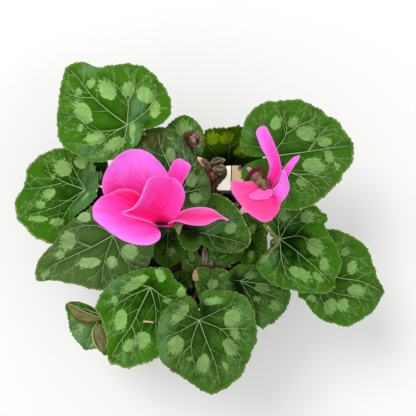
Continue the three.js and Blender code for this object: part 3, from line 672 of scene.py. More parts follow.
def blade(leaf, veins, name):
    """The toothed sheet of a leaf: columns of the grid run out from the petiole joint to the margin."""
    tip = leaf["tip"]
    girth = 2 * math.pi * tip * GIRTH_SHARE
    columns = 2 * int(girth / TOOTH_PITCH)
    rows = max(FEWEST_ROWS, int(tip / ROW_PITCH))
    piece, s, t = grid(name, columns, rows)
    end = np.where(s < 0, leaf["end_left"] or leaf["end"], leaf["end"])
    bearing = -np.sign(s) * end * (1 - (1 - np.abs(s)) ** SINUS_CROWDING)
    dice = np.random.default_rng(leaf["seed"])
    depth = TOOTH_LEAST + (TOOTH_MOST - TOOTH_LEAST) * dice.random(columns + 1) ** 1.5
    teeth = np.where(np.arange(columns + 1) % 2 == 0, depth, -depth)[step_of((s + 1) / 2, columns)]
    at_rim = t > 1 - 0.5 / rows
    radius = t**ROW_CROWDING * margin(leaf, bearing) + np.where(at_rim, teeth * leaf["tooth"], 0)
    u = radius * np.cos(np.radians(bearing))
    v = radius * np.sin(np.radians(bearing))
    lap = np.clip((bearing - LAP_START) / LAP_SPAN, 0, 1) * bool(leaf["end_left"])
    lift = LAP_RISE * lap**2 * (3 - 2 * lap) * np.minimum(radius / 6, 1)
    set_points(piece, blade_points(leaf, u, v, lift))
    mark_leaf(piece, leaf, u, v, bearing)
    gap = vein_distance(veins, u, v, 1)
    fine = vein_distance(veins, u, v, 3)
    # Puff: raised between the veins; the material reads it as relief and as painted shade next to the veins
    quilt = 1 - np.exp(-((gap / QUILT_WIDTH) ** 2))
    fine_quilt = 1 - np.exp(-((fine / FINE_QUILT_WIDTH) ** 2))
    set_values(piece, puff=0.7 * quilt + 0.5 * fine_quilt, halo=np.exp(-((fine / HALO_WIDTH) ** 2)), rib=0)
    weld(piece, 1e-7)
    return piece


def petiole_points(leaf):
    foot, upright = stalk_start(leaf["root"])
    joint = np.array(leaf["at"], float)
    outward = (joint - foot) * (1, 1, 0)
    middle = foot + outward * ARCH_REACH
    middle[2] = upright[2] + (joint[2] - upright[2]) * ARCH_RISE
    back = joint - outward * JOINT_REACH - (0, 0, JOINT_DROP)
    return [foot, upright, *(leaf["via"] or [middle]), back, joint]


def flap(name, left, right, tip, bulge, rims, rusts, skin):
    """A folded-over piece of margin that shows the underside, a strip of painted shade, a dry scrap or a
    loose sepal.
    """
    piece, s, _ = sheet(name, left, right, tip, columns=14, rows=30, hollow=-bulge)
    side = np.abs(s)
    set_values(piece, rim=np.where(s < 0, *rims) * side**5, rust=np.where(s < 0, *rusts) * side**2)
    paint(piece, FLAP_SKINS[skin])
    thicken(piece, FLAP_THICKNESS)
    return piece


def make_leaf(leaf):
    name = leaf["name"] + "_leaf"
    veins = leaf_veins(leaf)
    blade_sheet = blade(leaf, veins, name)
    paint(blade_sheet, LEAF_TOP, LEAF_UNDER, LEAF_MARGIN, PETIOLE)
    thicken(blade_sheet, BLADE_THICKNESS, material_offset=1, material_offset_rim=2)
    upper = vein_mesh(leaf, veins, name + "_veins", 1)
    paint(upper, LEAF_TOP)
    lower = vein_mesh(leaf, veins, name + "_ribs", -1)
    paint(lower, LEAF_UNDER)
    route = petiole_points(leaf)
    build = {"taper": 0.85, "count": 34, "sides": 2, "swell": 0.25}
    petiole = stem(name + "_petiole", route, PETIOLE, PETIOLE_RADIUS, **build)
    flaps = [flap(f"{name}_flap_{k}", **spec) for k, spec in enumerate(leaf["flaps"])]
    piece = joined(name, [blade_sheet, upper, lower, petiole, *flaps])
    give(piece, "leaf_green", "leaf_" + leaf["name"])


# Materials


class Value:
    """What a shader node gives: a number, a colour or a place, with ways to make others of it."""

    def __init__(self, tree, socket):
        self.tree = tree
        self.socket = socket

    def __add__(self, other):
        return calc("ADD", self, other)

    def __sub__(self, other):
        return calc("SUBTRACT", self, other)

    def __mul__(self, other):
        return calc("MULTIPLY", self, other)

    def swing(self, size):
        """The way above and below the middle, to a size."""
        return (self - 0.5) * size

    def ramp(self, low, high, to_low=0.0, to_high=1.0, kind="SMOOTHSTEP"):
        inputs = {"Value": self, "From Min": low, "From Max": high, "To Min": to_low, "To Max": to_high}
        return made(self.tree, "ShaderNodeMapRange", "Result", inputs, interpolation_type=kind)

    def line(self, low, high, to_low, to_high):
        return self.ramp(low, high, to_low, to_high, "LINEAR")

    def between(self, first, second):
        """The first colour where the value is 0, the second where it is 1, and a mix where it is between."""
        return made(self.tree, "ShaderNodeMix", 2, {0: self, 6: first, 7: second}, data_type="RGBA")

    def scaled(self, size):
        return made(self.tree, "ShaderNodeVectorMath", 0, {0: self, "Scale": size}, operation="SCALE")

    def noise(self, scale, detail=3.0, rough=0.55, spread=0.0):
        inputs = {"Vector": self, "Scale": scale, "Detail": detail, "Roughness": rough, "Distortion": spread}
        return made(self.tree, "ShaderNodeTexNoise", "Fac", inputs)


def fill(tree, socket, value):
    """Sets an input to a number or a colour, or links it to a value."""
    if isinstance(value, Value):
        tree.links.new(value.socket, socket)
    elif socket.type == "RGBA":
        socket.default_value = (*value, 1)
    else:
        socket.default_value = value


def made(tree, kind, output, inputs, **settings):
    """The output of a new node, whose inputs are given by name or number."""
    node = tree.nodes.new(kind)
    for key, value in settings.items():
        setattr(node, key, value)
    for key, value in inputs.items():
        fill(tree, node.inputs[key], value)
    return Value(tree, node.outputs[output])


def calc(operation, first, second):
    tree = first.tree if isinstance(first, Value) else second.tree
    return made(tree, "ShaderNodeMath", 0, {0: first, 1: second}, operation=operation)


def attribute(tree, name):
    return made(tree, "ShaderNodeAttribute", "Fac", {}, attribute_name=name)


def stretched(place, scale):
    return made(place.tree, "ShaderNodeMapping", "Vector", {"Vector": place, "Scale": scale})


def object_place(tree, scale=(1, 1, 1)):
    return stretched(made(tree, "ShaderNodeTexCoord", "Object", {}), scale)


def uv_place(tree, scale):
    return stretched(made(tree, "ShaderNodeUVMap", "UV", {}, uv_map="UVMap"), scale)


def fanned(tree, across, across_scale, away, away_scale):
    """Places for streaks that fan out: fine across, by one value, and long in the direction of the other."""
    parts = {0: attribute(tree, across) * across_scale, 1: attribute(tree, away) * away_scale}
    return made(tree, "ShaderNodeCombineXYZ", 0, parts)


def surface(tree, **sockets):
    """Sets inputs of the material's shader, named with underscores for spaces."""
    shader = tree.nodes["Principled BSDF"]
    for key, value in sockets.items():
        fill(tree, shader.inputs[key.replace("_", " ")], value)


def bump(tree, height, distance, strength):
    inputs = {"Height": height, "Distance": distance * MM, "Strength": strength}
    surface(tree, Normal=made(tree, "ShaderNodeBump", "Normal", inputs))


def new_material(name, roughness, **sockets):
    material = bpy.data.materials.new(name)
    material.use_nodes = True
    surface(material.node_tree, Roughness=roughness, **sockets)
    return material, material.node_tree


def build_mottle():
    """Node group: a colour broken up by coarse and fine noise, darker here and lighter there."""
    group = bpy.data.node_groups.new("mottle", "ShaderNodeTree")
    face = group.interface
    face.new_socket("Colour", in_out="INPUT", socket_type="NodeSocketColor")
    for name in ("Coarse", "Fine", "Depth"):
        face.new_socket(name, in_out="INPUT", socket_type="NodeSocketFloat")
    face.new_socket("Colour", in_out="OUTPUT", socket_type="NodeSocketColor")
    face.new_socket("Height", in_out="OUTPUT", socket_type="NodeSocketFloat")
    inlet = group.nodes.new("NodeGroupInput")
    colour, coarse, fine, depth = (Value(group, inlet.outputs[k]) for k in range(4))
    place = object_place(group)
    height = place.noise(coarse, 4, 0.5) * 0.65 + place.noise(fine, 2, 0.5) * 0.35
    outlet = group.nodes.new("NodeGroupOutput")
    fill(group, outlet.inputs["Colour"], colour.scaled(height.swing(depth * 4) + 1))
    fill(group, outlet.inputs["Height"], height)
    return group


MOTTLE = build_mottle()


def mottled(tree, colour, coarse, fine, depth):
    node = tree.nodes.new("ShaderNodeGroup")
    node.node_tree = MOTTLE
    for socket, value in zip(node.inputs, (colour, coarse, fine, depth)):
        fill(tree, socket, value)
    return Value(tree, node.outputs["Colour"]), Value(tree, node.outputs["Height"])


def coat(tree, colour, mottle, distance, strength, relief=None):
    """Mottles the colour by two scales and a depth, and raises the surface by that noise and the relief."""
    broken, height = mottled(tree, colour, *mottle)
    surface(tree, Base_Color=broken)
    bump(tree, height if relief is None else height + relief, distance, strength)
    return broken


def plain_skin(name, roughness, colour, mottle, distance, strength):
    material, tree = new_material(name, roughness)
    coat(tree, colour, mottle, distance, strength)
    return material


# Leaf colours, in linear light
DARK_GREEN = (0.001, 0.022, 0.000)
MID_GREEN = (0.043, 0.160, 0.003)
# Painted sheen: the bluish green of a waxy leaf reflecting the sky
PAINTED_SHEEN_GREEN = (0.105, 0.245, 0.085)
SILVER_GREEN = (0.285, 0.510, 0.140)
VEIN_GREEN = (0.400, 0.640, 0.240)
# The grey set partly stands for painted sheen, on leaves that face the light
GREY_DARK = (0.008, 0.026, 0.003)
GREY_MID = (0.070, 0.132, 0.032)
GREY_SILVER = (0.310, 0.470, 0.200)
GREY_VEIN = (0.340, 0.460, 0.240)
# The yellow set partly stands for painted light shining through a leaf
YELLOW_DARK = (0.001, 0.014, 0.000)
YELLOW_MID = (0.036, 0.105, 0.000)
YELLOW_LIGHT = (0.240, 0.410, 0.006)
YELLOW_VEIN = (0.160, 0.260, 0.040)
OLIVE_GREEN = (0.070, 0.085, 0.016)
# Painted highlight along the leaf margin
MARGIN_HIGHLIGHT = (0.350, 0.430, 0.150)
MARGIN_GREEN = (0.190, 0.300, 0.100)
UNDER_BROWN = (0.170, 0.140, 0.050)
UNDER_OLIVE = (0.210, 0.250, 0.070)
UNDER_EDGE = (0.105, 0.055, 0.018)
UNDER_RIM = (0.420, 0.400, 0.190)
UNDER_VEIN = (0.200, 0.070, 0.040)
FOLDED_BROWN = (0.120, 0.085, 0.030)
FOLDED_OLIVE = (0.240, 0.260, 0.080)
FOLDED_RUST = (0.085, 0.035, 0.015)
FOLDED_RIM = (0.460, 0.500, 0.190)
# Painted shade: the near-black of a turned-under margin in a dark gap
SHADED_BROWN = (0.004, 0.002, 0.001)
SHADED_EDGE = (0.085, 0.060, 0.020)
DRY_TAN = (0.700, 0.500, 0.240)
LEAF_TEXTURE = (TEXTURE_SIZE, TEXTURE_SIZE, 1)


def leaf_top():
    material, tree = new_material("leaf_upper_skin", 0.45, Specular_IOR_Level=0.035)
    reach, grey, yellow, silver, outer = (
        attribute(tree, name) for name in ("reach", "grey", "yellow", "silver", "outer")
    )
    flat = uv_place(tree, LEAF_TEXTURE)
    comb = fanned(tree, "bearing", 26, "distance", 0.28).noise(1, 3, 0.65)
    patchy = flat.noise(0.11, 4)
    cloud = flat.noise(0.4, 5, 0.6)
    speckle = flat.noise(1.3, 3, 0.7)
    streak = flat.noise(0.6, 4, 0.8, 0.8)

    # Grey and yellow tint each leaf: grey is partly painted sheen, yellow partly painted light through the
    # leaf
    def of_leaf(plain, greyish, yellowish):
        return yellow.between(grey.between(plain, greyish), yellowish)

    # The green: darker towards the heart, a painted bluish sheen where it would shine, olive where it is old
    mid = of_leaf(MID_GREEN, GREY_MID, YELLOW_MID)
    dark = attribute(tree, "heart").between(mid, of_leaf(DARK_GREEN, GREY_DARK, YELLOW_DARK))
    green = (reach + patchy.swing(1.7) + cloud.swing(0.9)).ramp(0.12, 0.88).between(dark, mid)
    painted_gloss = attribute(tree, "sheen") + cloud.swing(0.6) + patchy.swing(1.3)
    green = painted_gloss.ramp(0.15, 0.95, 0, 0.78).between(green, PAINTED_SHEEN_GREEN)
    faded = attribute(tree, "olive") + cloud.swing(0.8)
    green = faded.ramp(0.25, 0.8, 0, 0.85).between(green, OLIVE_GREEN)

    # Silver patches with edges torn along the veins, silver along the veins, and flecks
    silver_green = of_leaf(SILVER_GREEN, GREY_SILVER, YELLOW_LIGHT)
    light = attribute(tree, "bright").between(mid, silver_green)
    fingers = comb * 0.75 + streak * 0.25
    torn = fingers.swing(outer.ramp(-0.6, 0.7, 0.35, 1.9) * silver.ramp(0.04, 0.3))
    blur = outer.ramp(-0.3, 0.8, 0.03, 0.12)
    patch = (silver + torn + cloud.swing(0.5)).ramp(calc("SUBTRACT", 0.5, blur), blur + 0.5)
    green = (patch * fingers.line(0.35, 0.65, 0.7, 1)).between(green, light)
    fringe = attribute(tree, "halo") * reach.ramp(0.55, 0.8, 0.05, 0.5) * streak.ramp(0.45, 0.58)
    green = fringe.between(green, light)
    fleck = flat.noise(1.1, 2).ramp(0.66, 0.73) * reach.ramp(0.45, 0.75)
    green = (fleck * 0.7).between(green, light)

    # Veins, and a pale line along the margin, a painted highlight where the edge catches the light
    vein = yellow.between((grey * 0.6).between(VEIN_GREEN, GREY_VEIN), YELLOW_VEIN)
    thread = (attribute(tree, "rib") + streak.swing(0.3)).ramp(0.12, 0.45)
    green = (thread * 0.92).between(green, vein)
    # Painted highlight on the margin, as strong as each leaf's rim value
    pale = reach.ramp(0.958, 0.984) * attribute(tree, "rim") * cloud.ramp(0.35, 0.6)
    green = pale.between(green, MARGIN_HIGHLIGHT)

    # Painted shade next to the veins and where other leaves shade it, the tone, partly painted light and
    # shade, and random speckles
    puff = attribute(tree, "puff")
    tone_and_light = attribute(tree, "tone_and_light") * puff.line(0, 1.1, 0.62, 1.1) * speckle.line(0.25, 0.75, 0.74, 1.2)
    # Painted shade: the shade spots darken the green where other leaves shade it
    painted_shade = (attribute(tree, "shade") + cloud.swing(0.35)).ramp(0.2, 0.9, 1, 0.16)
    tone_and_light = calc("MAXIMUM", tone_and_light, thread * 0.9) * painted_shade
    surface(tree, Base_Color=green.scaled(tone_and_light), Roughness=speckle.line(0.2, 0.8, 0.36, 0.54))
    bump(tree, cloud * 0.5 + speckle * 0.12 + puff, 1.6, 0.9)
    return material


def leaf_under():
    material, tree = new_material("leaf_under_skin", 0.5, Specular_IOR_Level=0.15)
    reach = attribute(tree, "reach")
    patchy = uv_place(tree, LEAF_TEXTURE).noise(0.16, 4)
    skin = patchy.ramp(0.35, 0.62).between(UNDER_BROWN, UNDER_OLIVE)
    skin = reach.ramp(0.55, 0.97).between(skin, UNDER_EDGE)
    skin = reach.ramp(0.965, 0.99).between(skin, UNDER_RIM)
    skin = (attribute(tree, "rib") * 0.7).between(skin, UNDER_VEIN)
    coat(tree, skin, (90, 900, 0.22), 0.6, 0.5, attribute(tree, "puff"))
    return material


def stalk_skin(name, foot, tip):
    """Stalks run from one colour at the foot to another at the tip, with fine lengthwise streaks."""
    material, tree = new_material(name, 0.45, Specular_IOR_Level=0.14)
    streak = object_place(tree, (1, 1, 0.12)).noise(900, 3)
    along = attribute(tree, "along") + streak.swing(0.3)
    coat(tree, along.ramp(0.4, 0.95).between(foot, tip), (160, 1400, 0.3), 0.3, 0.5, streak)
    return material


def folded_skin():
    """The underside where it shows: olive and brown, streaked, with a pale or a rusty edge."""
    material, tree = new_material("folded_margin_skin", 0.5, Specular_IOR_Level=0.2)
    streak = uv_place(tree, (9, 2.5, 1)).noise(1, 4, 0.6)
    colour = streak.ramp(0.38, 0.62).between(FOLDED_BROWN, FOLDED_OLIVE)
    colour = attribute(tree, "rust").between(colour, FOLDED_RUST)
    colour = attribute(tree, "rim").ramp(0.2, 0.6).between(colour, FOLDED_RIM)
    coat(tree, colour, (150, 1200, 0.25), 0.3, 0.5, streak)
    return material


def shaded_skin():
    """A turned-under margin painted nearly black-brown: painted shade in a dark gap under the leaves, browner
    at its edge.
    """
    material, tree = new_material("turned_under_margin_painted_shade", 0.7, Specular_IOR_Level=0.05)
    colour = attribute(tree, "rust").between(SHADED_BROWN, SHADED_EDGE)
    coat(tree, colour, (150, 1200, 0.25), 0.3, 0.5)
    return material


def sepal_skin():
    material, tree = new_material("olive_sepal_skin", 0.55)
    streak = uv_place(tree, (6, 1.5, 1)).noise(1, 3)
    colour = streak.ramp(0.4, 0.62).between((0.300, 0.280, 0.070), (0.130, 0.150, 0.025))
    coat(tree, colour, (300, 2000, 0.25), 0.3, 0.5)
    return material


FLAP_SKINS = {
    "folded": folded_skin(),
    "dry": plain_skin("dry_leaf_scrap", 0.7, DRY_TAN, (200, 1500, 0.4), 0.3, 0.6),
    "shaded": shaded_skin(),
    "sepal": sepal_skin(),
}
LEAF_TOP = leaf_top()
LEAF_UNDER = leaf_under()
LEAF_MARGIN = plain_skin("leaf_margin_skin", 0.5, MARGIN_GREEN, (150, 1500, 0.25), 0.2, 0.4)
PETIOLE = stalk_skin("petiole_skin", (0.045, 0.016, 0.009), (0.190, 0.160, 0.070))
FLOWER_STALK = stalk_skin("flower_stalk_skin", (0.060, 0.018, 0.008), (0.085, 0.018, 0.004))
BUD_STALK = stalk_skin("bud_stalk_skin", (0.010, 0.004, 0.002), (0.090, 0.034, 0.017))


# Leaves as on the plant: where the petiole joins, where the tip points, and the margin's distance from
# the joint at bearings 30 degrees apart. Edge: bearings, and how far the margin is past its plain form.
# Ribs: the main veins, from the joint. Spots: place, half sizes, turn and strength. Sheen spots are painted
# sheen, shade spots painted shade.
# Tone scales each leaf's green: partly its own colour, partly painted light and shade for how much light
# reaches it
LEAF_DEFAULTS = dict(
    point=0, end=174, end_left=None, dip=0, roll=0, cup=0, fold=0, droop=4, wave=(1.2, 5, 0), ruffle=0.35,
    tooth=0.42, tone_and_light=1, grey=0, yellow=0, heart=0.5, bright=1, rim=0.35, vein=0.7, via=None,
    veins=(0, 42, -42, 84, -84, 126, -126, 158, -158), ribs=[], edge=[], sheen=[], shade=[], olive=[],
    flaps=[], patches=[],
)
LEAVES = {
    "back_left": dict(
        at=(-58, 94, 150), heading=135, tip=62, left=(56, 53, 42, 32, 21), right=(49, 45, 41, 35, 18),
        point=6, end_left=232, dip=6, cup=-2, droop=6, tone_and_light=1.05, heart=0.35, root=(17, 118),
        ribs=[
            [(0, 0), (15.8, 2.3), (33.9, 3.4), (57.7, 1.3), (64.3, 1.2)],
            [(0, 0), (6.4, -6.7), (11.9, -12.1), (26.6, -15.3), (41.1, -12.8)],
            [(11.9, -12.1), (17, -23.3), (20.9, -28.1), (27.7, -30.4)],
            [(0, 0), (-2.3, -12), (-2.3, -21.6), (1.1, -31.2), (7.7, -36.6)],
            [(0, 0), (3.7, 8.7), (17, 21.6), (31.7, 22.8), (41.1, 30.4)],
            [(0, 0), (3.7, 13), (4.8, 26.8), (6, 36.4)],
            [(0, 0), (-7.7, 13.5), (-9.3, 25.7)],
            [(33.9, 3.4), (44.4, 12.1), (55, 16.1)],
        ],
        edge=[
            (-151, -6), (-142, -3), (-129, -1), (-114, -1.5), (-78, -1), (-61, 1.5), (-54, 1), (-46, 1.5),
            (-30, 0), (-16, -3.5), (-13, -1.5), (-10, 1.5), (-7, 2.2), (8, 0.5), (17, 1), (59, 0), (73, -3),
            (86, -2.5), (111, -6.5), (150, -3), (162, -4.5), (193, -6), (214, -3.5),
        ],
        patches=[
            (32, 17, 9.5, 5.5, -10, 1.1), (31, -8, 9, 6, -5, 1), (19.5, -19.5, 6, 5, -75, 1),
            (7, -25.5, 7.5, 5.5, 10, 1), (-6, -23, 7.5, 4, -45, 0.9), (10.5, 24.5, 7.5, 5, 60, 1),
            (-3.5, 16.5, 8.5, 4.5, 65, 1), (46, 8.5, 4, 3.5, -90, 0.75), (44, -2.5, 4.5, 4, 75, 0.85),
            (24.5, 26.5, 4, 3, -65, 0.75), (-5, -0.5, 7, 2.5, -45, 0.9), (-11.5, 5.5, 1.5, 4, 35, 0.7),
        ],
        sheen=[
            (5, -16, 11, 7.5, -15, 1), (53, -9.5, 11.5, 5, 40, 0.8), (2.5, 32, 15.5, 5.5, 35, 0.7),
            (-6.5, -0.5, 6, 13, 45, 1),
        ],
        shade=[(-9, -12, 4, 4.5, 45, 0.6)],
    ),
    "left": dict(
        at=(-93, 46, 129), heading=-157, tip=62, left=(54, 46, 39, 30, 19), right=(51, 46, 39, 29, 19),
        end_left=222, dip=8, cup=-2, droop=5, wave=(1.6, 5, 40), heart=0.6, rim=0.7, root=(17, 154),
        ribs=[
            [(0, 0), (14.9, -13.7), (24.4, -27.1)],
            [(15.5, -12.2), (30, -14.9), (46.6, -20.1)],
            [(0, 0), (2.2, -20.1), (1.3, -32.5)],
            [(0, 0), (26, 3), (51.1, 0.3)],
            [(0, 0), (17.2, 7.5), (33.4, 18.8)],
            [(0, 0), (-10.1, -8.1), (-15.1, -13.6)],
        ],
        edge=[
            (-145, -4), (-81, -3), (-64, -1.5), (-41, 2.5), (-33, 0.5), (-25, -0.7), (-20, 1), (-15, 3.5),
            (-7, 1.5), (0, 0.5), (7, -2), (15, -0.5), (31, -0.5), (35, -2.5), (41, -24), (47, -30.5),
            (64, -30.5), (85, -29), (111, -23), (141, -12), (190, -4.5), (204, 0.5),
        ],
        patches=[
            (10, -22.5, 7, 6, -25, 1.1), (-5, -20.5, 5, 4.5, -25, 1), (-13, -13.5, 3, 4.5, -25, 0.95),
            (29, -8.5, 7, 5, 5, 0.8), (39, -3.5, 4.5, 3.5, -20, 0.85), (46, 5.5, 10.5, 3, -25, 0.8),
            (32, 14, 6.5, 3.5, -15, 0.85), (20.5, -19.5, 3, 3, 0, 0.7), (1.5, 4.5, 5, 1.5, 25, 0.7),
        ],
        sheen=[
            (-5, -2.5, 7, 14, -25, 1), (6.5, 11, 9.5, 5.5, 5, 0.9), (-16, -11.5, 4, 6, -25, 0.8),
            (4.5, 7, 8, 4.5, 20, 1), (-7, -7, 5, 9.5, -25, 1),
        ],
        shade=[
            (-4.5, 2.5, 6.5, 11, -25, 0.3), (6.5, -6.5, 8, 8, 0, 0.3), (18.5, -5, 7.5, 7, -25, 0.45),
            (36, -20, 9.5, 7, -25, 0.4), (49.5, 9.5, 8.5, 2.5, -20, 0.5),
        ],
        flaps=[
            # A turned-under strip of margin, near-black as painted shade in the gap below the leaf
            dict(
                left=[
                    (-77.5, 45, 125.4), (-77.6, 39.6, 124.9), (-81.6, 33.3, 124.3), (-87.2, 29.3, 123.7),
                    (-93.6, 25.4, 122.9), (-100.1, 21.4, 121.6), (-105.9, 17.5, 120.2),
                    (-110.1, 13.5, 118.7), (-113.6, 9.4, 117.2),
                ],
                right=[
                    (-82.5, 48.8, 129.9), (-84.1, 44.6, 129.4), (-86.8, 39.5, 128.8), (-90, 35.6, 128.2),
                    (-94.1, 32.1, 127.4), (-99.7, 28.6, 126.1), (-105.9, 25, 124.7), (-110.9, 20.7, 123.2),
                    (-113.7, 14.3, 121.7),
                ],
                tip=[(-113.8, 11.5, 119.7)],
                bulge=0.5, rims=(0, 0), rusts=(0, 0.2), skin="shaded",
            ),
        ],
    ),
    "centre_back": dict(
        at=(-20, 42, 156), heading=107, tip=51, left=(48, 42, 36, 28, 18), right=(37, 29, 26, 23, 14),
        dip=4, cup=-3, droop=5, tone_and_light=0.72, grey=0.6, heart=0.7, root=(10, 120),
        ribs=[
            [(0, 0), (18.9, -0.4), (40, 2.2), (48.6, 0.9)],
            [(8.6, -0.4), (23.4, -11.8), (36, -14.4)],
            [(0, 0), (10.7, -14.3), (20.5, -21.1)],
            [(0, 0), (14.1, 9.6), (27.6, 14.4)],
            [(0, 0), (-1, -13.9), (-1.5, -20.7)],
        ],
        edge=[
            (-154, 0.5), (-138, 2), (-123, 0.5), (-77, -1.5), (-61, -1.4), (-38, -2.5), (-29, -1.5),
            (-18, 3.5), (1, 3), (9, 4.5), (16, 4.5), (22, 3.5),
        ],
        patches=[
            (30, -3, 3.5, 5.5, 85, 1), (7.5, -12.5, 4, 5.5, 85, 1), (-6.5, -12, 5, 4.5, 75, 0.9),
            (18, -8, 2, 4, 85, 0.6), (43, -6.5, 3, 2, 30, 0.7), (20.5, -12.5, 2, 4, -85, 0.6),
            (38.5, 0.5, 1.5, 3, -85, 0.6),
        ],
        sheen=[(-1, -19.5, 4.5, 12, 75, 0.7), (31.5, -11, 9.5, 5.5, 20, 0.8), (1, -20, 4.5, 10.5, 85, 0.8)],
        shade=[(37.5, 7, 12, 8, 75, 0.45), (-10, -5, 10.5, 4.5, 75, 0.35)],
        olive=[(46, 8.5, 10.5, 8, 75, 1), (49.5, -0.5, 7.5, 4, 75, 0.6)],
    ),
    "left_low": dict(
        at=(-70, 11, 138), heading=-149, tip=60, left=(47, 43, 37, 34, 31), right=(43, 32, 27, 23, 20),
        point=12, dip=5, cup=-1, droop=5, grey=0.8, heart=0.25, root=(17, 174),
        ribs=[
            [(0, 0), (19.5, -0.7), (38.9, -3), (58.1, -3.8), (68, 0.7)],
            [(19.5, -0.7), (29.4, -11.9), (38.3, -16.1)],
            [(0, 0), (13.6, 10.8), (21.4, 18.9), (28, 27.8)],
            [(0, 0), (2.8, 17.2), (-0.5, 28.1), (-5.7, 33)],
            [(0, 0), (6.8, -12.1), (17.7, -18.5), (31.5, -22.1)],
        ],
        edge=[
            (-90, 0.5), (-76, -1), (-46, -1), (-26, 1.5), (-22, 1.5), (-11, 7), (-5, 5), (0, 1.5),
            (4, -5.5), (9, -6.5), (21, -1.5), (34, 0.5), (49, -0.5),
        ],
        patches=[
            (33.5, -14.5, 7, 5.5, 45, 1.2), (45, -8.5, 5, 4, -30, 0.8), (28, 8.5, 9, 4, -25, 1),
            (12, 17, 4.5, 4.5, 0, 1), (-3.5, 17.5, 6, 5.5, -10, 1.15), (12.5, -23.5, 5.5, 4, -30, 1),
            (65, -1, 7, 3, 10, 0.8),
        ],
        shade=[(-18.5, 26.5, 6, 11, -30, 0.3)],
    ),
    "back_small": dict(
        at=(-16, 83, 134), heading=80, tip=21, left=(19, 18, 17, 16, 12), right=(18.5, 17.5, 17, 16, 12),
        cup=-2, droop=2, wave=(0.8, 4, 0), tone_and_light=1.2, heart=0.3, rim=0.5, root=(17, 98),
        edge=[(-95, -1), (-75, -1), (-50, -0.9), (-26, -0.5), (-3, -0.9), (15, 0.8), (32, 0.2)],
        patches=[(9, 2.5, 7, 6.5, -80, 0.8)],
        sheen=[(-3, 2.5, 12.5, 9.5, -80, 1)],
    ),
    "back_curled": dict(
        at=(18, 62, 118), heading=86, tip=37, left=(37, 31, 24, 20, 14), right=(38, 31, 24, 20, 14),
        dip=-26, cup=4, droop=3, wave=(2, 7, 30), ruffle=1, tooth=1, yellow=1, heart=0.9, root=(17, 74),
        patches=[(26, 13.5, 6, 5, -40, 0.95), (27.5, 3, 5.5, 5, -40, 0.95), (16, -10, 5, 6.5, 5, 0.95)],
        shade=[(8.5, 0, 23.5, 7.5, -85, 0.95), (17.5, -7, 6.5, 6.5, 0, 0.5)],
    ),
    "back_right": dict(
        at=(49, 70, 155), heading=8, tip=65, left=(54, 47, 40, 34, 23), right=(56, 48, 39, 31, 27), dip=5,
        cup=-2, droop=5, grey=0.2, bright=0.74, rim=0.45, root=(17, 50),
        via=[(20, 20, 104), (30, 36, 108), (40, 50, 119), (46, 61, 139)],
        ribs=[
            [(0, 0), (15, 0), (26.7, 0), (46.7, 0.6), (61.7, 0.4)],
            [(0, 0), (14.2, 15.2), (15, 25.7), (14.5, 33.4)],
            [(14.2, 15.2), (25.8, 20.6), (37.5, 24.5), (39.4, 29.9)],
            [(29.1, 0.5), (38.4, 9.9), (47.5, 17.3)],
            [(0, 0), (13.1, -13.3), (29.7, -17.8), (45.1, -22)],
            [(13.1, -13.3), (24.5, -20.9), (34, -31.3)],
            [(0, 0), (4.8, -18.2), (10.5, -32.6)],
            [(0, 0), (-6.2, 11.8), (-7.9, 21.1)],
        ],
        edge=[
            (-56, -0.5), (-50, -1), (-37, -1.5), (-26, 0), (-21, -1.5), (-11, 1.5), (-7, 1), (1, 1.5),
            (5, -0.5), (13, -1), (18, 1), (22, 1), (27, -0.5), (34, 0.8), (40, 0), (56, 0.5), (66, -1.5),
            (75, -1.5), (84, 0), (93, 0.5), (125, -2.5), (136, -1), (148, 1.5), (159, 0),
        ],
        patches=[
            (8, 24.5, 5.5, 4, 50, 1), (21, 23, 4.5, 4, 40, 1), (29.5, 13.5, 7.5, 5.5, -25, 1),
            (42.5, 5.5, 5.5, 4, -25, 1), (32, -11.5, 8.5, 6, -20, 1.05), (21, -22.5, 5.5, 4.5, -45, 0.75),
            (45, -5.5, 6, 4, -75, 0.85), (50.5, -13.5, 4.5, 3, -65, 0.7),
        ],
        sheen=[(-12, 23, 6, 10.5, -10, 0.5)],
        shade=[(10.5, -4, 10.5, 6, -5, 0.3)],
    ),
    "right": dict(
        at=(57, 8, 143), heading=-41, tip=55, left=(47, 40, 32, 25, 15), right=(42, 33, 25, 15, 9), dip=6,
        roll=-6, cup=5, wave=(1.8, 5, 80), tone_and_light=0.9, grey=0.05, heart=0.95, bright=0.8, root=(17, 10),
        via=[(32, -7, 104), (45.8, -8.4, 112), (51.5, -2.5, 127)],
        ribs=[
            [(0, 0), (10.6, 12.1), (23.5, 15.1), (33.3, 19.5)],
            [(0, 0), (14.6, 1.5), (38.1, 1.4), (52.3, 0.2)],
            [(0, 0), (12.7, -12), (25.7, -18.9)],
            [(0, 0), (-2.1, 12.4), (-1.4, 28.1)],
            [(0, 0), (-9.5, 9), (-13.2, 14.5)],
            [(0, 0), (1.4, -15.6), (-0.2, -23.6)],
        ],
        edge=[
            (-150, -5), (-130, -8.5), (-110, -13), (-100, -13), (-97, -5.5), (-95, 0.5), (-91, 3), (-32, 0),
            (-26, 1), (-18, 0.5), (-6, 2.5), (0, 1.5), (4, -2), (21, 2), (33, 0), (40, -3), (53, -5),
            (59, -3.5), (62, 0.5), (69, 3), (73, 2), (85, 4), (95, -3.5), (113, 2), (124, 4), (134, 4.5),
            (141, 2.5), (153, 6.5), (167, 6), (172, 3.5),
        ],
        patches=[
            (-9.5, 16, 4.5, 4.5, 0, 1), (5, 26.5, 6, 5.5, 60, 0.85), (25, 13.5, 7, 5.5, -5, 1.1),
            (39, 7.5, 6, 4, -60, 0.9), (29, -9.5, 9.5, 4, 15, 1), (41.5, -2.5, 5.5, 3, 5, 0.9),
            (0.5, -18.5, 5.5, 4, 70, 0.7),
        ],
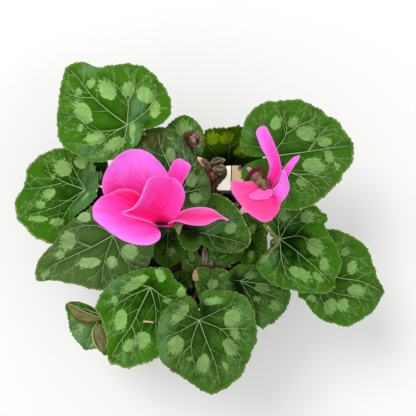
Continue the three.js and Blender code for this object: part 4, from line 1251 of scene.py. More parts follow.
        sheen=[(0.5, -17, 9.5, 7.5, 40, 1), (-6.5, 15.5, 8, 5.5, 60, 0.7)],
        shade=[(9, 9, 15.5, 13, 40, 0.62), (6.5, 22.5, 7, 7, 0, 0.5), (-7.5, 20, 4.5, 4, 40, 0.6)],
        flaps=[
            dict(
                left=[
                    (45.3, 20.3, 146), (48.4, 16.2, 145.4), (52.6, 12.7, 144.7), (56.7, 7.4, 144),
                    (55.3, 3.2, 144.3), (49.9, -1.7, 145.4),
                ],
                right=[
                    (44.2, 19.2, 145.8), (46.7, 15.4, 145.3), (50.6, 11.6, 144.6), (53.9, 7, 144.1),
                    (52.9, 3.2, 144.3), (48.6, -1.5, 145.2),
                ],
                tip=[(49, -2.3, 145.4)],
                bulge=0.8, rims=(1, 0.7), rusts=(0, 0.4), skin="folded",
            ),
        ],
    ),
    "far_right": dict(
        at=(88, -18, 124), heading=-17, tip=55, left=(46, 40.5, 35, 24, 16), right=(52, 44, 31, 21, 14),
        point=4, dip=7, cup=-1, droop=5, tone_and_light=0.92, grey=0.15, heart=0.4, bright=0.9, root=(17, -10),
        ribs=[
            [(1.2, -0.3), (19.9, 0.1), (36.9, 2.3), (56, -0.4)],
            [(1.2, -0.3), (14.1, -11.4), (37, -11), (50.7, -10.1)],
            [(1.2, -0.3), (11.1, 14.1), (22.3, 25.6)],
            [(1.2, -0.3), (8.2, -17.2), (23.3, -32)],
            [(1.2, -0.3), (3.7, 18.5), (3.5, 30)],
        ],
        edge=[
            (-95, -4.5), (-79, -4), (-66, -2.5), (-53, -1.5), (-43, 3), (-30, 3), (-19, 5), (-1, 1.5),
            (10, -3.5), (19, -1.5), (40, 1.5), (63, -1), (76, -1), (93, 0),
        ],
        patches=[
            (27, 11, 5.5, 4, -85, 1.1), (36.5, -6, 8, 5, 5, 1), (29, -19.5, 5, 5, 0, 1),
            (19, -23.5, 6.5, 5, -85, 1), (17.5, 21, 5, 4, 75, 0.75), (2.5, -21.5, 5, 3, -15, 0.8),
        ],
        sheen=[(11, -12.5, 11.5, 9.5, 15, 0.6)],
        shade=[(17.5, -6.5, 6.5, 9.5, 15, 0.3)],
    ),
    "front_right": dict(
        at=(23, -26, 145), heading=-13, tip=44, left=(34, 21, 15, 11, 9), right=(41, 24, 12, 9, 8), dip=6,
        roll=-8, droop=3, tone_and_light=0.75, grey=0.4, heart=0.75, bright=0.55, vein=0.5, root=(17, -48),
        via=[(18, -27, 101), (24.5, -32, 112), (27, -31.5, 128)],
        ribs=[
            [(-2.2, 2.7), (15, 4.1), (34.7, 6)],
            [(3.3, 3.1), (21.7, -1.4), (40.2, -3.7)],
            [(3.3, 3.1), (12.8, 10.6), (19.6, 16.8)],
            [(3.3, 3.1), (15.6, -10.5), (21.2, -22.1)],
        ],
        edge=[(-46, 7.5), (-38, 3), (-24, 0), (11, 1), (22, 4), (30, 3.5), (42, 0.8), (73, -2)],
        patches=[
            (10, 9, 4.5, 3, 20, 1), (21, 1.5, 6.5, 4, 10, 0.9), (19, -7.5, 4.5, 3, 0, 0.75),
            (34, -9.5, 6.5, 6, 10, 0.7),
        ],
        sheen=[(26.5, -26, 12.5, 9, 10, 0.5)],
        shade=[
            (0.5, 1, 4.5, 12, 20, 0.8), (11, -21.5, 5.5, 12, 10, 0.5), (17, 21, 9.5, 3, 15, 0.3),
            (3.5, -4.5, 4, 7.5, 10, 1), (9.5, -11, 3, 6, 30, 0.9),
        ],
    ),
    "front": dict(
        at=(-3, -52, 154), heading=-82, tip=57, left=(50, 46, 41, 35, 25), right=(46, 40, 33, 29, 22),
        point=4, end=177, dip=6, cup=-2, droop=6, tone_and_light=0.92, grey=0.35, heart=0.6, bright=0.82, vein=0.6,
        root=(17, -98), via=[(-5, -33, 112), (-8.5, -39, 124), (-6.5, -46, 140)],
        ribs=[
            [(-0.2, -1.2), (17.5, 2.4), (34.2, 6.1), (53, 7.5)],
            [(-0.2, -1.2), (18.1, -9.8), (32, -9.5), (43.9, -8.9)],
            [(18.1, -9.8), (26.4, -19.4), (34.8, -23.7)],
            [(-0.2, -1.2), (6.7, -18), (9.7, -30.6)],
            [(-0.2, -1.2), (-6.3, -11.6), (-10.6, -20.1)],
            [(-0.2, -1.2), (9.9, 14.8), (22.8, 21.4), (37.4, 27.6)],
            [(-0.2, -1.2), (-5, 13.8), (-9.8, 28)],
            [(8.9, 13.4), (10.2, 26.8), (13.3, 37)],
        ],
        edge=[
            (-152, -2), (-125, -2.5), (-101, -1), (-62, 0), (-50, 2), (-38, 1.5), (-17, -1), (8, 0.5),
            (25, 4), (36, 1), (49, -1), (61, -0.5), (76, -1.5), (111, 0.5), (121, -1.5), (139, -2),
        ],
        patches=[
            (-6.5, -14.5, 8.5, 3.5, -50, 1.1), (16.5, -21, 7, 5.5, -20, 1.1),
            (34.5, -3, 7.5, 4.5, -20, 1.1), (24, 19, 7, 4.5, 20, 1.1), (2, 23.5, 7.5, 6, -20, 1.05),
            (13.5, 24, 6.5, 3.5, 10, 0.85), (-13, 11, 7.5, 3, -90, 0.95), (38, 13.5, 5, 2.5, 30, 0.75),
            (28.5, -12, 3, 2.5, 80, 0.7),
        ],
        sheen=[
            (11.5, -30, 4.5, 20, 80, 1), (-10, -14, 9, 7, -60, 0.6), (-2, 30, 7.5, 10.5, 80, 0.7),
            (-5, -24, 9, 12, 80, 0.55), (-14, 10.5, 16.5, 5.5, 65, 0.4),
        ],
        shade=[(-8, 3, 6.5, 7, 80, 0.8), (-14.5, -19.5, 9, 4.5, -80, 0.3)],
    ),
    "front_left": dict(
        at=(-41, -28, 148), heading=-119, tip=67, left=(56, 45, 36, 32, 22), right=(46, 37, 24, 19, 16),
        end_left=216, dip=6, cup=3, fold=3, droop=6, wave=(1.6, 6, 20), heart=0.7, rim=0.5, root=(17, 211),
        via=[(-25, -16.5, 110), (-36, -21, 128)],
        ribs=[
            [(0, 0), (18, 0.8), (32.7, 1.7), (49.1, -0.1), (62.1, -0.3)],
            [(32.7, 1.7), (41.4, 9.9), (57, 13.9)],
            [(0, 0), (17.4, -12.4), (33.4, -18.7)],
            [(0, 0), (13.2, 12.1), (30.6, 20.6)],
            [(0, 0), (1.3, 16), (-3.4, 25.6)],
            [(0, 0), (3.9, -11.9), (12.4, -21)],
        ],
        edge=[
            (-166, 0.5), (-127, -3), (-98, -3), (-66, -4), (-55, -2), (-40, 3), (-29, -1), (-21, -5.5),
            (-14, -8.5), (-9, -8), (1, 2), (6, -0.5), (10, 0), (14, 2), (18, 0.5), (30, 1), (133, -7.5),
            (149, -3), (160, -1.5), (187, -3), (200, -1.5), (209, 2.5),
        ],
        patches=[
            (33.5, -7.5, 8, 4.5, 20, 1.1), (38.5, 14.5, 6, 5.5, 20, 1.1), (47.5, 7, 5.5, 4, 0, 0.95),
            (22, -18.5, 4, 3, 30, 0.85), (-8.5, 22, 4.5, 3, 10, 0.95), (3, -11.5, 12, 4, -30, 0.95),
            (-11, 3.5, 4.5, 3, 30, 0.9), (2.5, 16.5, 4.5, 3, -60, 0.7), (-12.5, 1.5, 3, 5.5, -40, 0.9),
        ],
        sheen=[(9, -21, 17, 7, -25, 0.8), (58, 12, 14, 5.5, -60, 0.5)],
        shade=[(11.5, 7.5, 7.5, 14, -60, 0.4), (-21, 10.5, 6, 7.5, -60, 0.3), (-4.5, -1, 3, 4, -60, 0.6)],
        flaps=[
            dict(
                left=[
                    (-46.7, -54.1, 146), (-44.4, -53.7, 146.2), (-41.8, -54, 146.4), (-39.1, -54.2, 146.7),
                ],
                right=[
                    (-46.6, -54.6, 145.9), (-44.4, -54.8, 146.1), (-41.8, -55, 146.3),
                    (-39.5, -55.2, 146.5),
                ],
                tip=[(-38.9, -54.6, 146.9)],
                bulge=0.6, rims=(0, 0), rusts=(0, 0), skin="dry",
            ),
        ],
    ),
    "corner_curled": dict(
        at=(-84, -55, 104), heading=162, tip=30, left=(26, 28, 31, 33, 27), right=(3, 2, 2, 2, 3), dip=5,
        cup=3, droop=3, tone_and_light=1.1, root=(17, 193),
        edge=[
            (0, 0), (14, -1.5), (27, 1.5), (44, 2.3), (62, 1.5), (75, 0), (84, 0.3), (102, -5.5), (109, -3),
            (114, 0),
        ],
        patches=[(13.5, 16, 7.5, 5.5, 60, 0.6), (-0.5, 25, 4, 2.5, 20, 0.6)],
        sheen=[(13, 17.5, 11.5, 10.5, 20, 1.2), (-0.5, 24.5, 8, 6, 20, 1.1)],
        flaps=[
            dict(
                left=[
                    (-112.7, -45.2, 102.8), (-108.1, -47.2, 103.3), (-102.4, -50, 103.9),
                    (-96.6, -52.7, 104.5), (-90.8, -55.1, 105), (-85.1, -56.5, 105.5),
                ],
                right=[
                    (-112, -46.9, 102.5), (-109.8, -52.1, 103.3), (-105.6, -58.1, 103.8),
                    (-99.1, -61.8, 104), (-91.7, -61.7, 104.6), (-85.1, -59.2, 104.9),
                ],
                tip=[(-84, -57.7, 105.3)],
                bulge=2.2, rims=(0.8, 0.1), rusts=(0.1, 0.9), skin="folded",
            ),
            dict(
                left=[
                    (-85.1, -62.4, 105.3), (-81.8, -64.7, 105.7), (-79.3, -69.5, 106.4),
                    (-78.3, -75.8, 107.2), (-79.9, -81.4, 107.9), (-81.4, -85.6, 108.7),
                ],
                right=[
                    (-86.5, -62.5, 105.2), (-90.4, -65.6, 105.3), (-91.6, -71.2, 106.1), (-90, -77, 107.4),
                    (-86.2, -82.5, 108.5), (-82.2, -85.6, 108.8),
                ],
                tip=[(-81.7, -86.3, 108.8)],
                bulge=2.2, rims=(1, 1), rusts=(0.5, 0.7), skin="folded",
            ),
        ],
    ),
    "inner_left": dict(
        at=(-29, 14, 122), heading=268, tip=29, left=(24, 12.5, 10, 9, 7), right=(24, 18, 15, 13, 9), cup=2,
        droop=3, tone_and_light=0.75, yellow=0.3, heart=0.9, vein=0.35, root=(11, 155),
        patches=[(16, 3, 3, 4, 0, 0.8), (20, 3, 4, 1.5, -70, 0.6)],
        olive=[(15.5, 2, 4.5, 4.5, 0, 0.9)],
    ),
    "centre": dict(
        at=(-4, 13, 139), heading=-15, tip=40, left=(36, 34, 31, 20, 15), right=(24, 13, 15, 18, 17), dip=3,
        droop=3, wave=(1.8, 6, 10), tone_and_light=0.95, grey=0.3, heart=0.75, bright=0.8, rim=0.95, vein=0.5,
        root=(4.5, 115),
        ribs=[
            [(0, 0), (12.2, 0.4), (25.7, 0.7), (38, 0.1)],
            [(4.2, 0.6), (14.9, 11.4), (25.5, 19.8)],
            [(6.8, -0.3), (15.4, -8.3), (24.8, -10.2)],
        ],
        edge=[
            (-161, 1), (-141, -1), (-83, -1), (-71, -3), (-53, -3.5), (-42, -2.5), (-23, -2.5), (-11, -0.5),
            (-1, -0.5),
        ],
        patches=[
            (22.5, 9.5, 5, 4, 55, 1), (11.5, 15.5, 3, 2.5, -15, 0.5), (27, -1.5, 4, 1, 35, 0.6),
            (34, 3, 2.5, 1, 55, 0.6), (16.5, 18, 4, 1.5, 45, 0.5),
        ],
        sheen=[(7, 10, 9, 7.5, 15, 0.8), (9, 3.5, 5.5, 4.5, 15, 1), (21.5, 17, 8, 4.5, 45, 0.7)],
        shade=[(-9, -1, 10.5, 7, 0, 1), (-11, -5.5, 6, 9, 15, 0.6)],
        olive=[(30, -3, 11.5, 4, 25, 1), (14.5, -8, 6, 2.5, 5, 0.5)],
    ),
    "inner_small": dict(
        at=(12, 2, 126), heading=-30, tip=19, left=(17, 15, 13, 11, 8), right=(17, 15, 13, 11, 8), cup=-1,
        droop=2, wave=(0.6, 4, 0), tone_and_light=1.15, heart=0.6, bright=0.9, vein=0.35, root=(9, -10),
        patches=[
            (6.5, -5.5, 4.5, 1, 50, 0.8), (-0.5, -10.5, 3, 1, 10, 0.7), (-2.5, -16, 2.5, 1.5, 30, 0.6),
        ],
    ),
    "inner_right": dict(
        at=(36, 10, 122), heading=20, tip=15, left=(18, 19, 18, 15, 11), right=(13, 17, 26, 25, 14), cup=1,
        droop=2, wave=(0.8, 4, 50), tone_and_light=1.05, yellow=0.3, heart=0.8, rim=0.5, vein=0.35, root=(12, 22),
        patches=[(3, 4.5, 3, 4, -20, 0.9), (-4.5, -14, 3, 4, -20, 0.8), (4, -11, 1.5, 4, -10, 0.5)],
    ),
    "inner_front": dict(
        at=(4, -38, 124), heading=85, tip=22, left=(24, 14, 9.5, 8, 7), right=(24, 20, 16, 12, 8), cup=-1,
        droop=2, wave=(0.6, 4, 0), tone_and_light=1.4, grey=0.3, rim=0.9, vein=0.45, root=(14, -65),
        patches=[(10, -1.5, 4.5, 3.5, -85, 1), (17.5, -8, 5.5, 1, -60, 0.7), (20, 3, 3, 1, -75, 0.5)],
        sheen=[(10, -11, 5.5, 4.5, -85, 1)],
        flaps=[
            dict(
                left=[(-6.6, -17.1, 123), (-5.8, -20.2, 123.5), (-4.6, -24.9, 124.2)],
                right=[(-8.1, -17.1, 122.9), (-9.5, -21, 123.3), (-9.3, -24.9, 123.8)],
                tip=[(-6.9, -25.7, 124.1)],
                bulge=0.8, rims=(0, 0), rusts=(0, 0), skin="dry",
            ),
        ],
    ),
    "inner_folded": dict(
        at=(-11, -14, 114), heading=95, tip=15, left=(12, 8, 7, 7, 5), right=(12, 8, 7, 7, 5), fold=8,
        droop=2, wave=(0.5, 4, 0), tone_and_light=1.3, rim=0.8, vein=0.35, root=(11, 195),
        patches=[(5.5, -1.5, 3, 3, 0, 0.9), (9, -0.5, 2.5, 3, 85, 0.9), (3, 3, 2, 3, -75, 0.7)],
    ),
    "under_front": dict(
        at=(-24, -30, 116), heading=30, tip=17, left=(14, 10, 8, 7, 6), right=(13, 10, 9, 8, 6), cup=-1,
        droop=2, wave=(0.6, 4, 0), tone_and_light=0.55, heart=0.8, vein=0.35, root=(17, 236),
    ),
    "under_left": dict(
        at=(-81, 57.5, 112), heading=110, tip=23, left=(20, 15, 12, 10, 8), right=(13, 5, 3.5, 3.5, 4),
        droop=3, wave=(0.6, 4, 0), tone_and_light=0.95, heart=0.8, vein=0.35, root=(17, 136),
    ),
}
for order, (place_name, entry) in enumerate(LEAVES.items()):
    make_leaf({**LEAF_DEFAULTS, **entry, "name": place_name, "seed": 100 + order})


# Petals, in colours from painted shade in the mouth, through the mouth's red, to a pale rim that is a painted
# highlight
MOUTH_SHADE = (0.030, 0.000, 0.004)
MOUTH_RED = (0.600, 0.000, 0.080)
PETAL_DEEP = (0.960, 0.001, 0.170)
PETAL_PINK = (0.980, 0.045, 0.460)
PETAL_LILAC = (0.980, 0.200, 0.930)
WARM_DEEP = (0.940, 0.008, 0.170)
WARM_PALE = (0.980, 0.140, 0.420)
PETAL_RIM_HIGHLIGHT = (0.980, 0.300, 0.880)


def petal_skin():
    material, tree = new_material("petal_skin", 0.5, Specular_IOR_Level=0.1)
    streak = fanned(tree, "fan", 17, "far", 0.05).noise(1, 3, 0.6)
    broad = uv_place(tree, (7, 2.5, 1)).noise(1, 2)
    pale = attribute(tree, "pale") + streak.swing(0.5) + broad.swing(0.3)
    # Painted shade: the darkest of the mouth, near-black
    colour = pale.ramp(-0.9, -0.25).between(MOUTH_SHADE, MOUTH_RED)
    colour = pale.ramp(-0.3, 0.1).between(colour, PETAL_DEEP)
    colour = pale.ramp(0.05, 0.5).between(colour, PETAL_PINK)
    colour = pale.ramp(0.4, 1).between(colour, PETAL_LILAC)
    colour = attribute(tree, "warm").between(colour, pale.ramp(0, 1).between(WARM_DEEP, WARM_PALE))
    # Painted highlight along the rolled petal edges
    colour = (attribute(tree, "rim") * 0.75).between(colour, PETAL_RIM_HIGHLIGHT)
    surface(tree, Base_Color=colour)
    bump(tree, streak * 0.6 + broad * 0.5, 0.8, 0.45)
    return material


def calyx_skin():
    material, tree = new_material("calyx_skin", 0.55)
    place = object_place(tree)
    colour = place.noise(350, 4).ramp(0.4, 0.62).between((0.220, 0.165, 0.060), (0.070, 0.050, 0.014))
    colour = place.noise(160, 3).ramp(0.48, 0.6).between(colour, (0.090, 0.030, 0.012))
    coat(tree, colour, (300, 2000, 0.25), 0.3, 0.5)
    return material


PETAL = petal_skin()
THROAT = plain_skin("throat_skin", 0.5, (0.330, 0.001, 0.050), (200, 1500, 0.2), 0.2, 0.3)
CALYX = calyx_skin()


def mouth_frame(bloom):
    """The way the bloom's mouth faces, two directions across it, and its middle."""
    facing = unit(bloom["facing"])
    side, up = np.eye(3)[1:]
    first = unit(side - facing * (side @ facing))
    second = up - facing * (up @ facing)
    second = unit(second - first * (second @ first))
    return facing, first, second, np.array(bloom["calyx"]) + facing * (TUBE_LENGTH + TUBE_LIP)


def petal(name, spec, bloom):
    facing, first, second, mouth = mouth_frame(bloom)
    turn = math.radians(spec["seat"])
    ring = (TUBE_RADIUS - TUBE_WALL / 2) * (first * math.cos(turn) + second * math.sin(turn))
    seat = mouth + ring - facing * SEAT_SINK
    lip = seat + facing * (SEAT_SINK + SEAT_LIP)
    across = unit(spec["across"]) * SEAT_HALF
    left = [seat - across, lip - across, *spec["left"]]
    right = [seat + across, lip + across, *spec["right"]]

    def spread(s, t):
        wave = spec["ruffle"] * np.abs(s) ** 4 * np.sin(PETAL_WAVES * t * math.pi + 2 * np.sign(s)) * t
        return wave - spec["crease"] * np.exp(-((s / CREASE_WIDTH) ** 2)) * t

    piece, s, t = sheet(name, left, right, spec["tip"], *spec["mesh"], spec["hollow"], spread)
    # Rim: a painted highlight along the petal's edges and tip
    left_rim, right_rim, tip_rim = spec["rims"]
    edge = np.where(s < 0, left_rim, right_rim) * np.abs(s) ** RIM_SHARPNESS
    rim = np.maximum(edge, tip_rim * t**TIP_SHARPNESS) * np.clip(4 * t - 0.6, 0, 1)
    deep_at, pale_at = spec["fade"]
    left_gain, right_gain = spec["sides"]
    pale = (t - deep_at) / (pale_at - deep_at)
    pale = pale + np.where(s < 0, left_gain, right_gain) * np.abs(s) ** 1.5
    place = points_of(piece) / MM
    # Painted shade: a dark spot at the petal's base, where the mouth shades it
    if spec["painted_shade"]:
        x, y, long, short, strength = spec["painted_shade"]
        off = place - (x, y, 0)
        pale = pale - strength * np.exp(-((off[:, 0] / long) ** 2) - (off[:, 1] / short) ** 2)
    span = place - seat
    fan = np.arctan2(span[:, 1], span[:, 0]) + spec["seat"]
    set_values(piece, rim=rim, pale=pale, warm=spec["warm"], fan=fan, far=np.linalg.norm(span, axis=1))
    paint(piece, PETAL)
    thicken(piece, PETAL_THICKNESS)
    return piece


# Blooms: each petal sits at a seat round the tube's mouth and runs between a left and a right edge
PETAL_DEFAULTS = dict(
    mesh=(32, 56), ruffle=0.35, crease=0, rims=(1, 0.6, 0.6), sides=(0, 0), warm=0, painted_shade=None,
)
BLOOMS = {
    "left": dict(
        calyx=(-17, 23.8, 203), facing=(-0.95, 0.1, -0.3), root=(6, 170),
        via=[
            (-7, -2, 105), (-11, 5, 117), (-17, 12, 128), (-20.5, 18.5, 140), (-17.5, 21.5, 168),
            (-14, 22.3, 193), (-13.1, 23.6, 201.2),
        ],
        petals=[
            dict(
                seat=-50, across=(0.6, 1, 0.2), hollow=4, rims=(0.7, 0.7, 0.7), fade=(0.3, 0.82),
                left=[
                    (-47.3, 26.2, 196), (-60.9, 32.4, 198), (-68.4, 40.6, 203), (-68.6, 49.2, 210),
                    (-63.7, 58.5, 218), (-57.8, 64.8, 223), (-54.3, 67.1, 225),
                ],
                right=[
                    (-30.2, 27.6, 203), (-26.7, 33.7, 206), (-23.8, 41.1, 209), (-22.9, 47.8, 213),
                    (-23.8, 52.3, 216), (-25.9, 57.1, 219), (-30.3, 62.3, 222),
                ],
                tip=[(-49.7, 68.9, 225), (-44, 69.5, 224), (-36.8, 67.6, 223)],
            ),
            dict(
                seat=90, across=(1, -0.4, 0.15), hollow=3, rims=(1.3, 0.1, 0.2), fade=(0.34, 1.6),
                sides=(0.22, 0.28), painted_shade=(-30.1, 20.3, 6.8, 2.7, 1.3),
                left=[
                    (-30.8, 19.5, 205), (-38.2, 22.5, 206), (-55.2, 28.1, 211), (-48, 31.4, 216),
                    (-42.2, 37.6, 222), (-39.5, 43.1, 227), (-37.2, 47.8, 231), (-34.7, 50.9, 234),
                ],
                right=[
                    (-24, 19.8, 205), (-20.5, 22.2, 207), (-19, 25, 211), (-16.4, 29, 216),
                    (-14, 34.3, 221), (-12.5, 38.9, 226), (-13, 43, 230), (-14.8, 46.2, 233),
                ],
                tip=[(-30.2, 52, 234), (-24.4, 51.1, 234), (-18.7, 49.8, 234)],
            ),
            dict(
                seat=215, across=(0, 1, 0.1), hollow=3, crease=1.5, fade=(0.34, 1.12), sides=(0.6, -0.3),
                left=[
                    (-32.6, 18.6, 199), (-30.2, 14.5, 198.5), (-30.9, 10.4, 198), (-36.1, 6.9, 197.5),
                    (-45.8, 6.2, 197), (-55.5, 9.3, 197), (-65.1, 15.1, 197), (-72.7, 21, 197),
                ],
                right=[
                    (-35.7, 27.6, 203), (-39.5, 35.1, 206), (-44.8, 41.8, 208), (-51.4, 44.5, 209),
                    (-57.5, 44.3, 209), (-63.1, 42.2, 207), (-67.6, 40.5, 204), (-70.6, 39.2, 202),
                ],
                tip=[(-76, 23.8, 198), (-77.6, 28.3, 199), (-75.6, 34.1, 201)],
            ),
            dict(
                seat=25, across=(0.6, 0, -1), hollow=1.5, mesh=(20, 40), fade=(0.2, 1.3),
                left=[
                    (-26, 33.1, 205), (-24.9, 42.5, 208), (-24.7, 49.8, 211), (-23.5, 56, 215),
                    (-20.7, 62.2, 218),
                ],
                right=[
                    (-17.9, 32.4, 205), (-16.8, 39.8, 208), (-15, 47.1, 211), (-11.5, 53.7, 215),
                    (-8.8, 58.6, 217),
                ],
                tip=[(-18.4, 63.8, 218), (-15.7, 64.2, 218), (-12.4, 62.4, 218), (-9.4, 60.5, 217.5)],
            ),
            dict(
                seat=140, across=(0, -1, 0), hollow=2, mesh=(20, 50), fade=(-0.5, 2.8), sides=(0.5, 0.5),
                warm=0.7,
                left=[
                    (-21.1, 25.6, 209.5), (-17.7, 28.3, 210.5), (-11.7, 30.9, 209), (-5, 32.1, 206.5),
                    (1.8, 31.9, 204), (6.6, 30.2, 202), (11.4, 26.6, 200), (16.3, 23.9, 198),
                ],
                right=[
                    (-21.1, 22.6, 208.5), (-17, 22.6, 209.5), (-11.7, 20.9, 208), (-5, 19.8, 205.5),
                    (1.1, 20.2, 203), (5.9, 22.3, 201), (10.7, 24.6, 199.5), (16.3, 22.7, 197.8),
                ],
                tip=[(16.7, 23.3, 198)],
            ),
        ],
        loose_sepals=[
            dict(
                left=[(-16.3, 22.8, 200.5), (-15.4, 20, 199), (-16, 17.2, 197.5), (-17.3, 14.4, 196)],
                right=[(-20.5, 22.4, 200.5), (-20.7, 19.7, 199), (-19.7, 16.9, 197.5), (-18.2, 14.2, 196)],
                tip=[(-17.8, 13.4, 195.6)],
                bulge=0.8, rims=(0, 0), rusts=(0, 0), skin="sepal",
            ),
        ],
    ),
    "right": dict(
        calyx=(39.3, 49.9, 200), facing=(0.39, -0.54, -0.75), root=(5, 20),
        via=[
            (9, 2, 108), (19, 20, 121), (28, 35, 134), (25, 41, 152), (29, 50, 188), (33.5, 57, 201),
            (38.5, 58.5, 207.5), (41.3, 55, 206.5),
        ],
        petals=[
            dict(
                seat=70, across=(1, -0.3, 0.3), hollow=1.5, mesh=(20, 56), fade=(0.1, 1.15), sides=(0.4, 0),
                left=[
                    (43.7, 46.2, 195.5), (42.7, 50.9, 199), (44.2, 56.3, 202), (44.3, 60.2, 205),
                    (42, 66.1, 208.5), (38.7, 71.2, 212), (36.2, 76.4, 214.5), (34.4, 81.1, 217),
                ],
                right=[
                    (46.7, 45.8, 197), (49.5, 49.2, 200), (51.6, 53.5, 203), (52, 58.1, 206),
                    (50.3, 66, 209.5), (47.7, 72.5, 212.5), (45.1, 77.7, 215), (42.6, 82.1, 217.5),
                ],
                tip=[(35.3, 83.7, 218), (38.3, 85.8, 218), (40.9, 85.2, 218)],
            ),
            dict(
                seat=25, across=(0.4, -1, 0), hollow=1, mesh=(14, 40), fade=(0, 0.8),
                left=[
                    (51.5, 49.6, 197), (53.3, 54.3, 200), (55, 59.6, 203.5), (58, 63.5, 207),
                    (60.7, 66, 210), (62.9, 66.6, 211.5),
                ],
                right=[
                    (54.9, 47.6, 197), (56.7, 52.3, 200), (59.1, 57.3, 203.5), (61, 60.8, 207),
                    (62.7, 63.3, 210), (63.9, 65.6, 211.5),
                ],
                tip=[(63.7, 66.4, 211.5)],
            ),
            dict(
                seat=-20, across=(-0.3, -1, 0), hollow=2, mesh=(20, 40), fade=(0, 0.6),
                left=[
                    (44.1, 43.5, 194), (48, 45.5, 197), (50.5, 48.5, 200), (51.9, 52.8, 204),
                    (52.5, 57.4, 208),
                ],
                right=[
                    (50.4, 34.1, 193.5), (54.9, 37.9, 197), (57.3, 42.3, 201), (57.5, 48, 205),
                    (55.1, 53.3, 208.5),
                ],
                tip=[(53.4, 57, 208.5)],
            ),
            dict(
                seat=250, across=(-0.88, 0.48, 0), hollow=-2, crease=1.2, ruffle=0.9, rims=(0.5, 0.5, 0.5),
                fade=(0.1, 1.8), sides=(0, 0.3), warm=0.8,
                left=[
                    (45.4, 40, 196), (48.7, 37.9, 197), (52.1, 35.5, 197.5), (51.8, 31.7, 197),
                    (50.2, 27.9, 196), (46.5, 23.7, 195),
                ],
                right=[
                    (37.7, 44.1, 197.5), (32.7, 49.6, 199), (25.2, 49.6, 199.5), (19, 50.6, 199.5),
                    (18.3, 44.8, 199), (22.5, 37.2, 198),
                ],
                tip=[(42, 22, 195), (36.4, 24.1, 195.5), (29.4, 29.3, 196.5)],
            ),
            dict(
                seat=200, across=(-0.88, 0.48, 0), hollow=-1, ruffle=1.2, mesh=(16, 24), warm=0.6,
                fade=(-1.6, 1.6),
                left=[(45.8, 44.1, 199), (46.7, 41.3, 200), (43.6, 38.2, 200.5)],
                right=[(38.9, 45.1, 200), (34, 43, 201), (30.6, 40.9, 201)],
                tip=[(37.5, 37.5, 200.5), (31.3, 38.5, 201)],
            ),
            dict(
                seat=150, across=(-0.7, -0.7, 0), hollow=0.6, mesh=(12, 30), fade=(0.1, 1), warm=0.4,
                left=[(36.7, 51.2, 191.5), (33.2, 54.4, 191), (30.1, 58.6, 190)],
                right=[(38.8, 54, 191.5), (35, 57.2, 191), (31.4, 60.2, 190)],
                tip=[(29.6, 59.9, 190)],
            ),
        ],
        loose_sepals=[],
    ),
}


def sepals(name, facing, at, reach, width, back):
    """Pointed sepals set round a stalk's end, each a small arched sheet."""
    parts = []
    turn, place = toward(facing, at)
    for k in range(SEPAL_COUNT):
        piece, s, t = grid(f"{name}_{k}", 6, 10)
        angle = 2 * math.pi * k / SEPAL_COUNT
        x = SEPAL_START + reach * np.sin(t * math.pi / 2)
        y = s * width * np.sin(math.pi * np.clip(0.18 + 0.82 * t, 0, 1)) ** 0.8
        z = back * (1 - np.cos(t * math.pi / 2)) + SEPAL_ARCH * s**2
        cos, sin = math.cos(angle), math.sin(angle)
        flat = np.stack([x * cos - y * sin, x * sin + y * cos, z], axis=1)
        set_points(piece, (flat @ turn.T + place) * MM)
        thicken(piece, SEPAL_THICKNESS)
        paint(piece, CALYX)
        parts.append(piece)
    return parts


def make_bloom(bloom):
    name = bloom["name"] + "_bloom"
    facing = unit(bloom["facing"])
    calyx = np.array(bloom["calyx"], float)
    inside = TUBE_RADIUS - TUBE_WALL
    lip = (TUBE_RADIUS - TUBE_WALL / 2, TUBE_LENGTH + TUBE_LIP)
    outer_side = [(0, 0), (3, 0), (4.5, 1.3), (TUBE_RADIUS, 3), (TUBE_RADIUS, TUBE_LENGTH)]
    inner_side = [(inside, TUBE_LENGTH), (inside, 3.6), (0, 1.5)]
    tube = lathe(name + "_tube", [*outer_side, lip, *inner_side], 40, toward(facing, calyx + facing * 0.3))
    paint(tube, THROAT)
    parts = [tube]
    for k, spec in enumerate(bloom["petals"]):
        parts.append(petal(f"{name}_petal_{k}", {**PETAL_DEFAULTS, **spec}, bloom))
    petals = joined(name + "_petals", parts)
    give(petals, "petal_pink", f"flower_{bloom['name']}_petals")

    route = [*stalk_start(bloom["root"]), *bloom["via"], calyx - facing * 1.3]
    stalk = stem(name + "_stalk_tube", route, FLOWER_STALK, FLOWER_STALK_RADIUS, taper=1, count=110)
    cup = lathe(name + "_cup", CALYX_CUP, 24, toward(facing, calyx))
    paint(cup, CALYX)
    star = sepals(name + "_sepal", facing, calyx - facing * 0.2, reach=4.6, width=2.2, back=3.2)
    star += [flap(f"{name}_loose_sepal_{k}", **spec) for k, spec in enumerate(bloom["loose_sepals"])]
    whole = joined(name + "_stalk", [stalk, cup, *star])
    give(whole, "stalk_red", f"flower_{bloom['name']}_stalk")


for place_name, entry in BLOOMS.items():
    make_bloom({**entry, "name": place_name})


# Buds


def bud_skin(name, base, blush, tip):
    material, tree = new_material(name, 0.5)
    streak = object_place(tree).noise(170, 4, 0.6, 0.4)
    colour = streak.ramp(0.42, 0.6).between(base, blush)
    # Painted shade: the furrows between the lobes darkened nearly to black
    colour = attribute(tree, "furrow").ramp(0.15, 0.7).between(colour, (0.022, 0.009, 0.004))
    colour = attribute(tree, "along").ramp(0.62, 0.95).between(colour, tip)
    coat(tree, colour, (300, 2400, 0.3), 0.4, 0.5)
    return material


OLIVE_BUD = bud_skin("olive_bud_skin", (0.175, 0.150, 0.045), (0.020, 0.011, 0.003), (0.300, 0.270, 0.120))
PINK_BUD = bud_skin("pink_bud_skin", (0.380, 0.250, 0.140), (0.075, 0.032, 0.016), (0.860, 0.480, 0.400))
RED_BUD = bud_skin("red_bud_skin", (0.300, 0.020, 0.035), (0.090, 0.012, 0.010), (0.450, 0.060, 0.090))

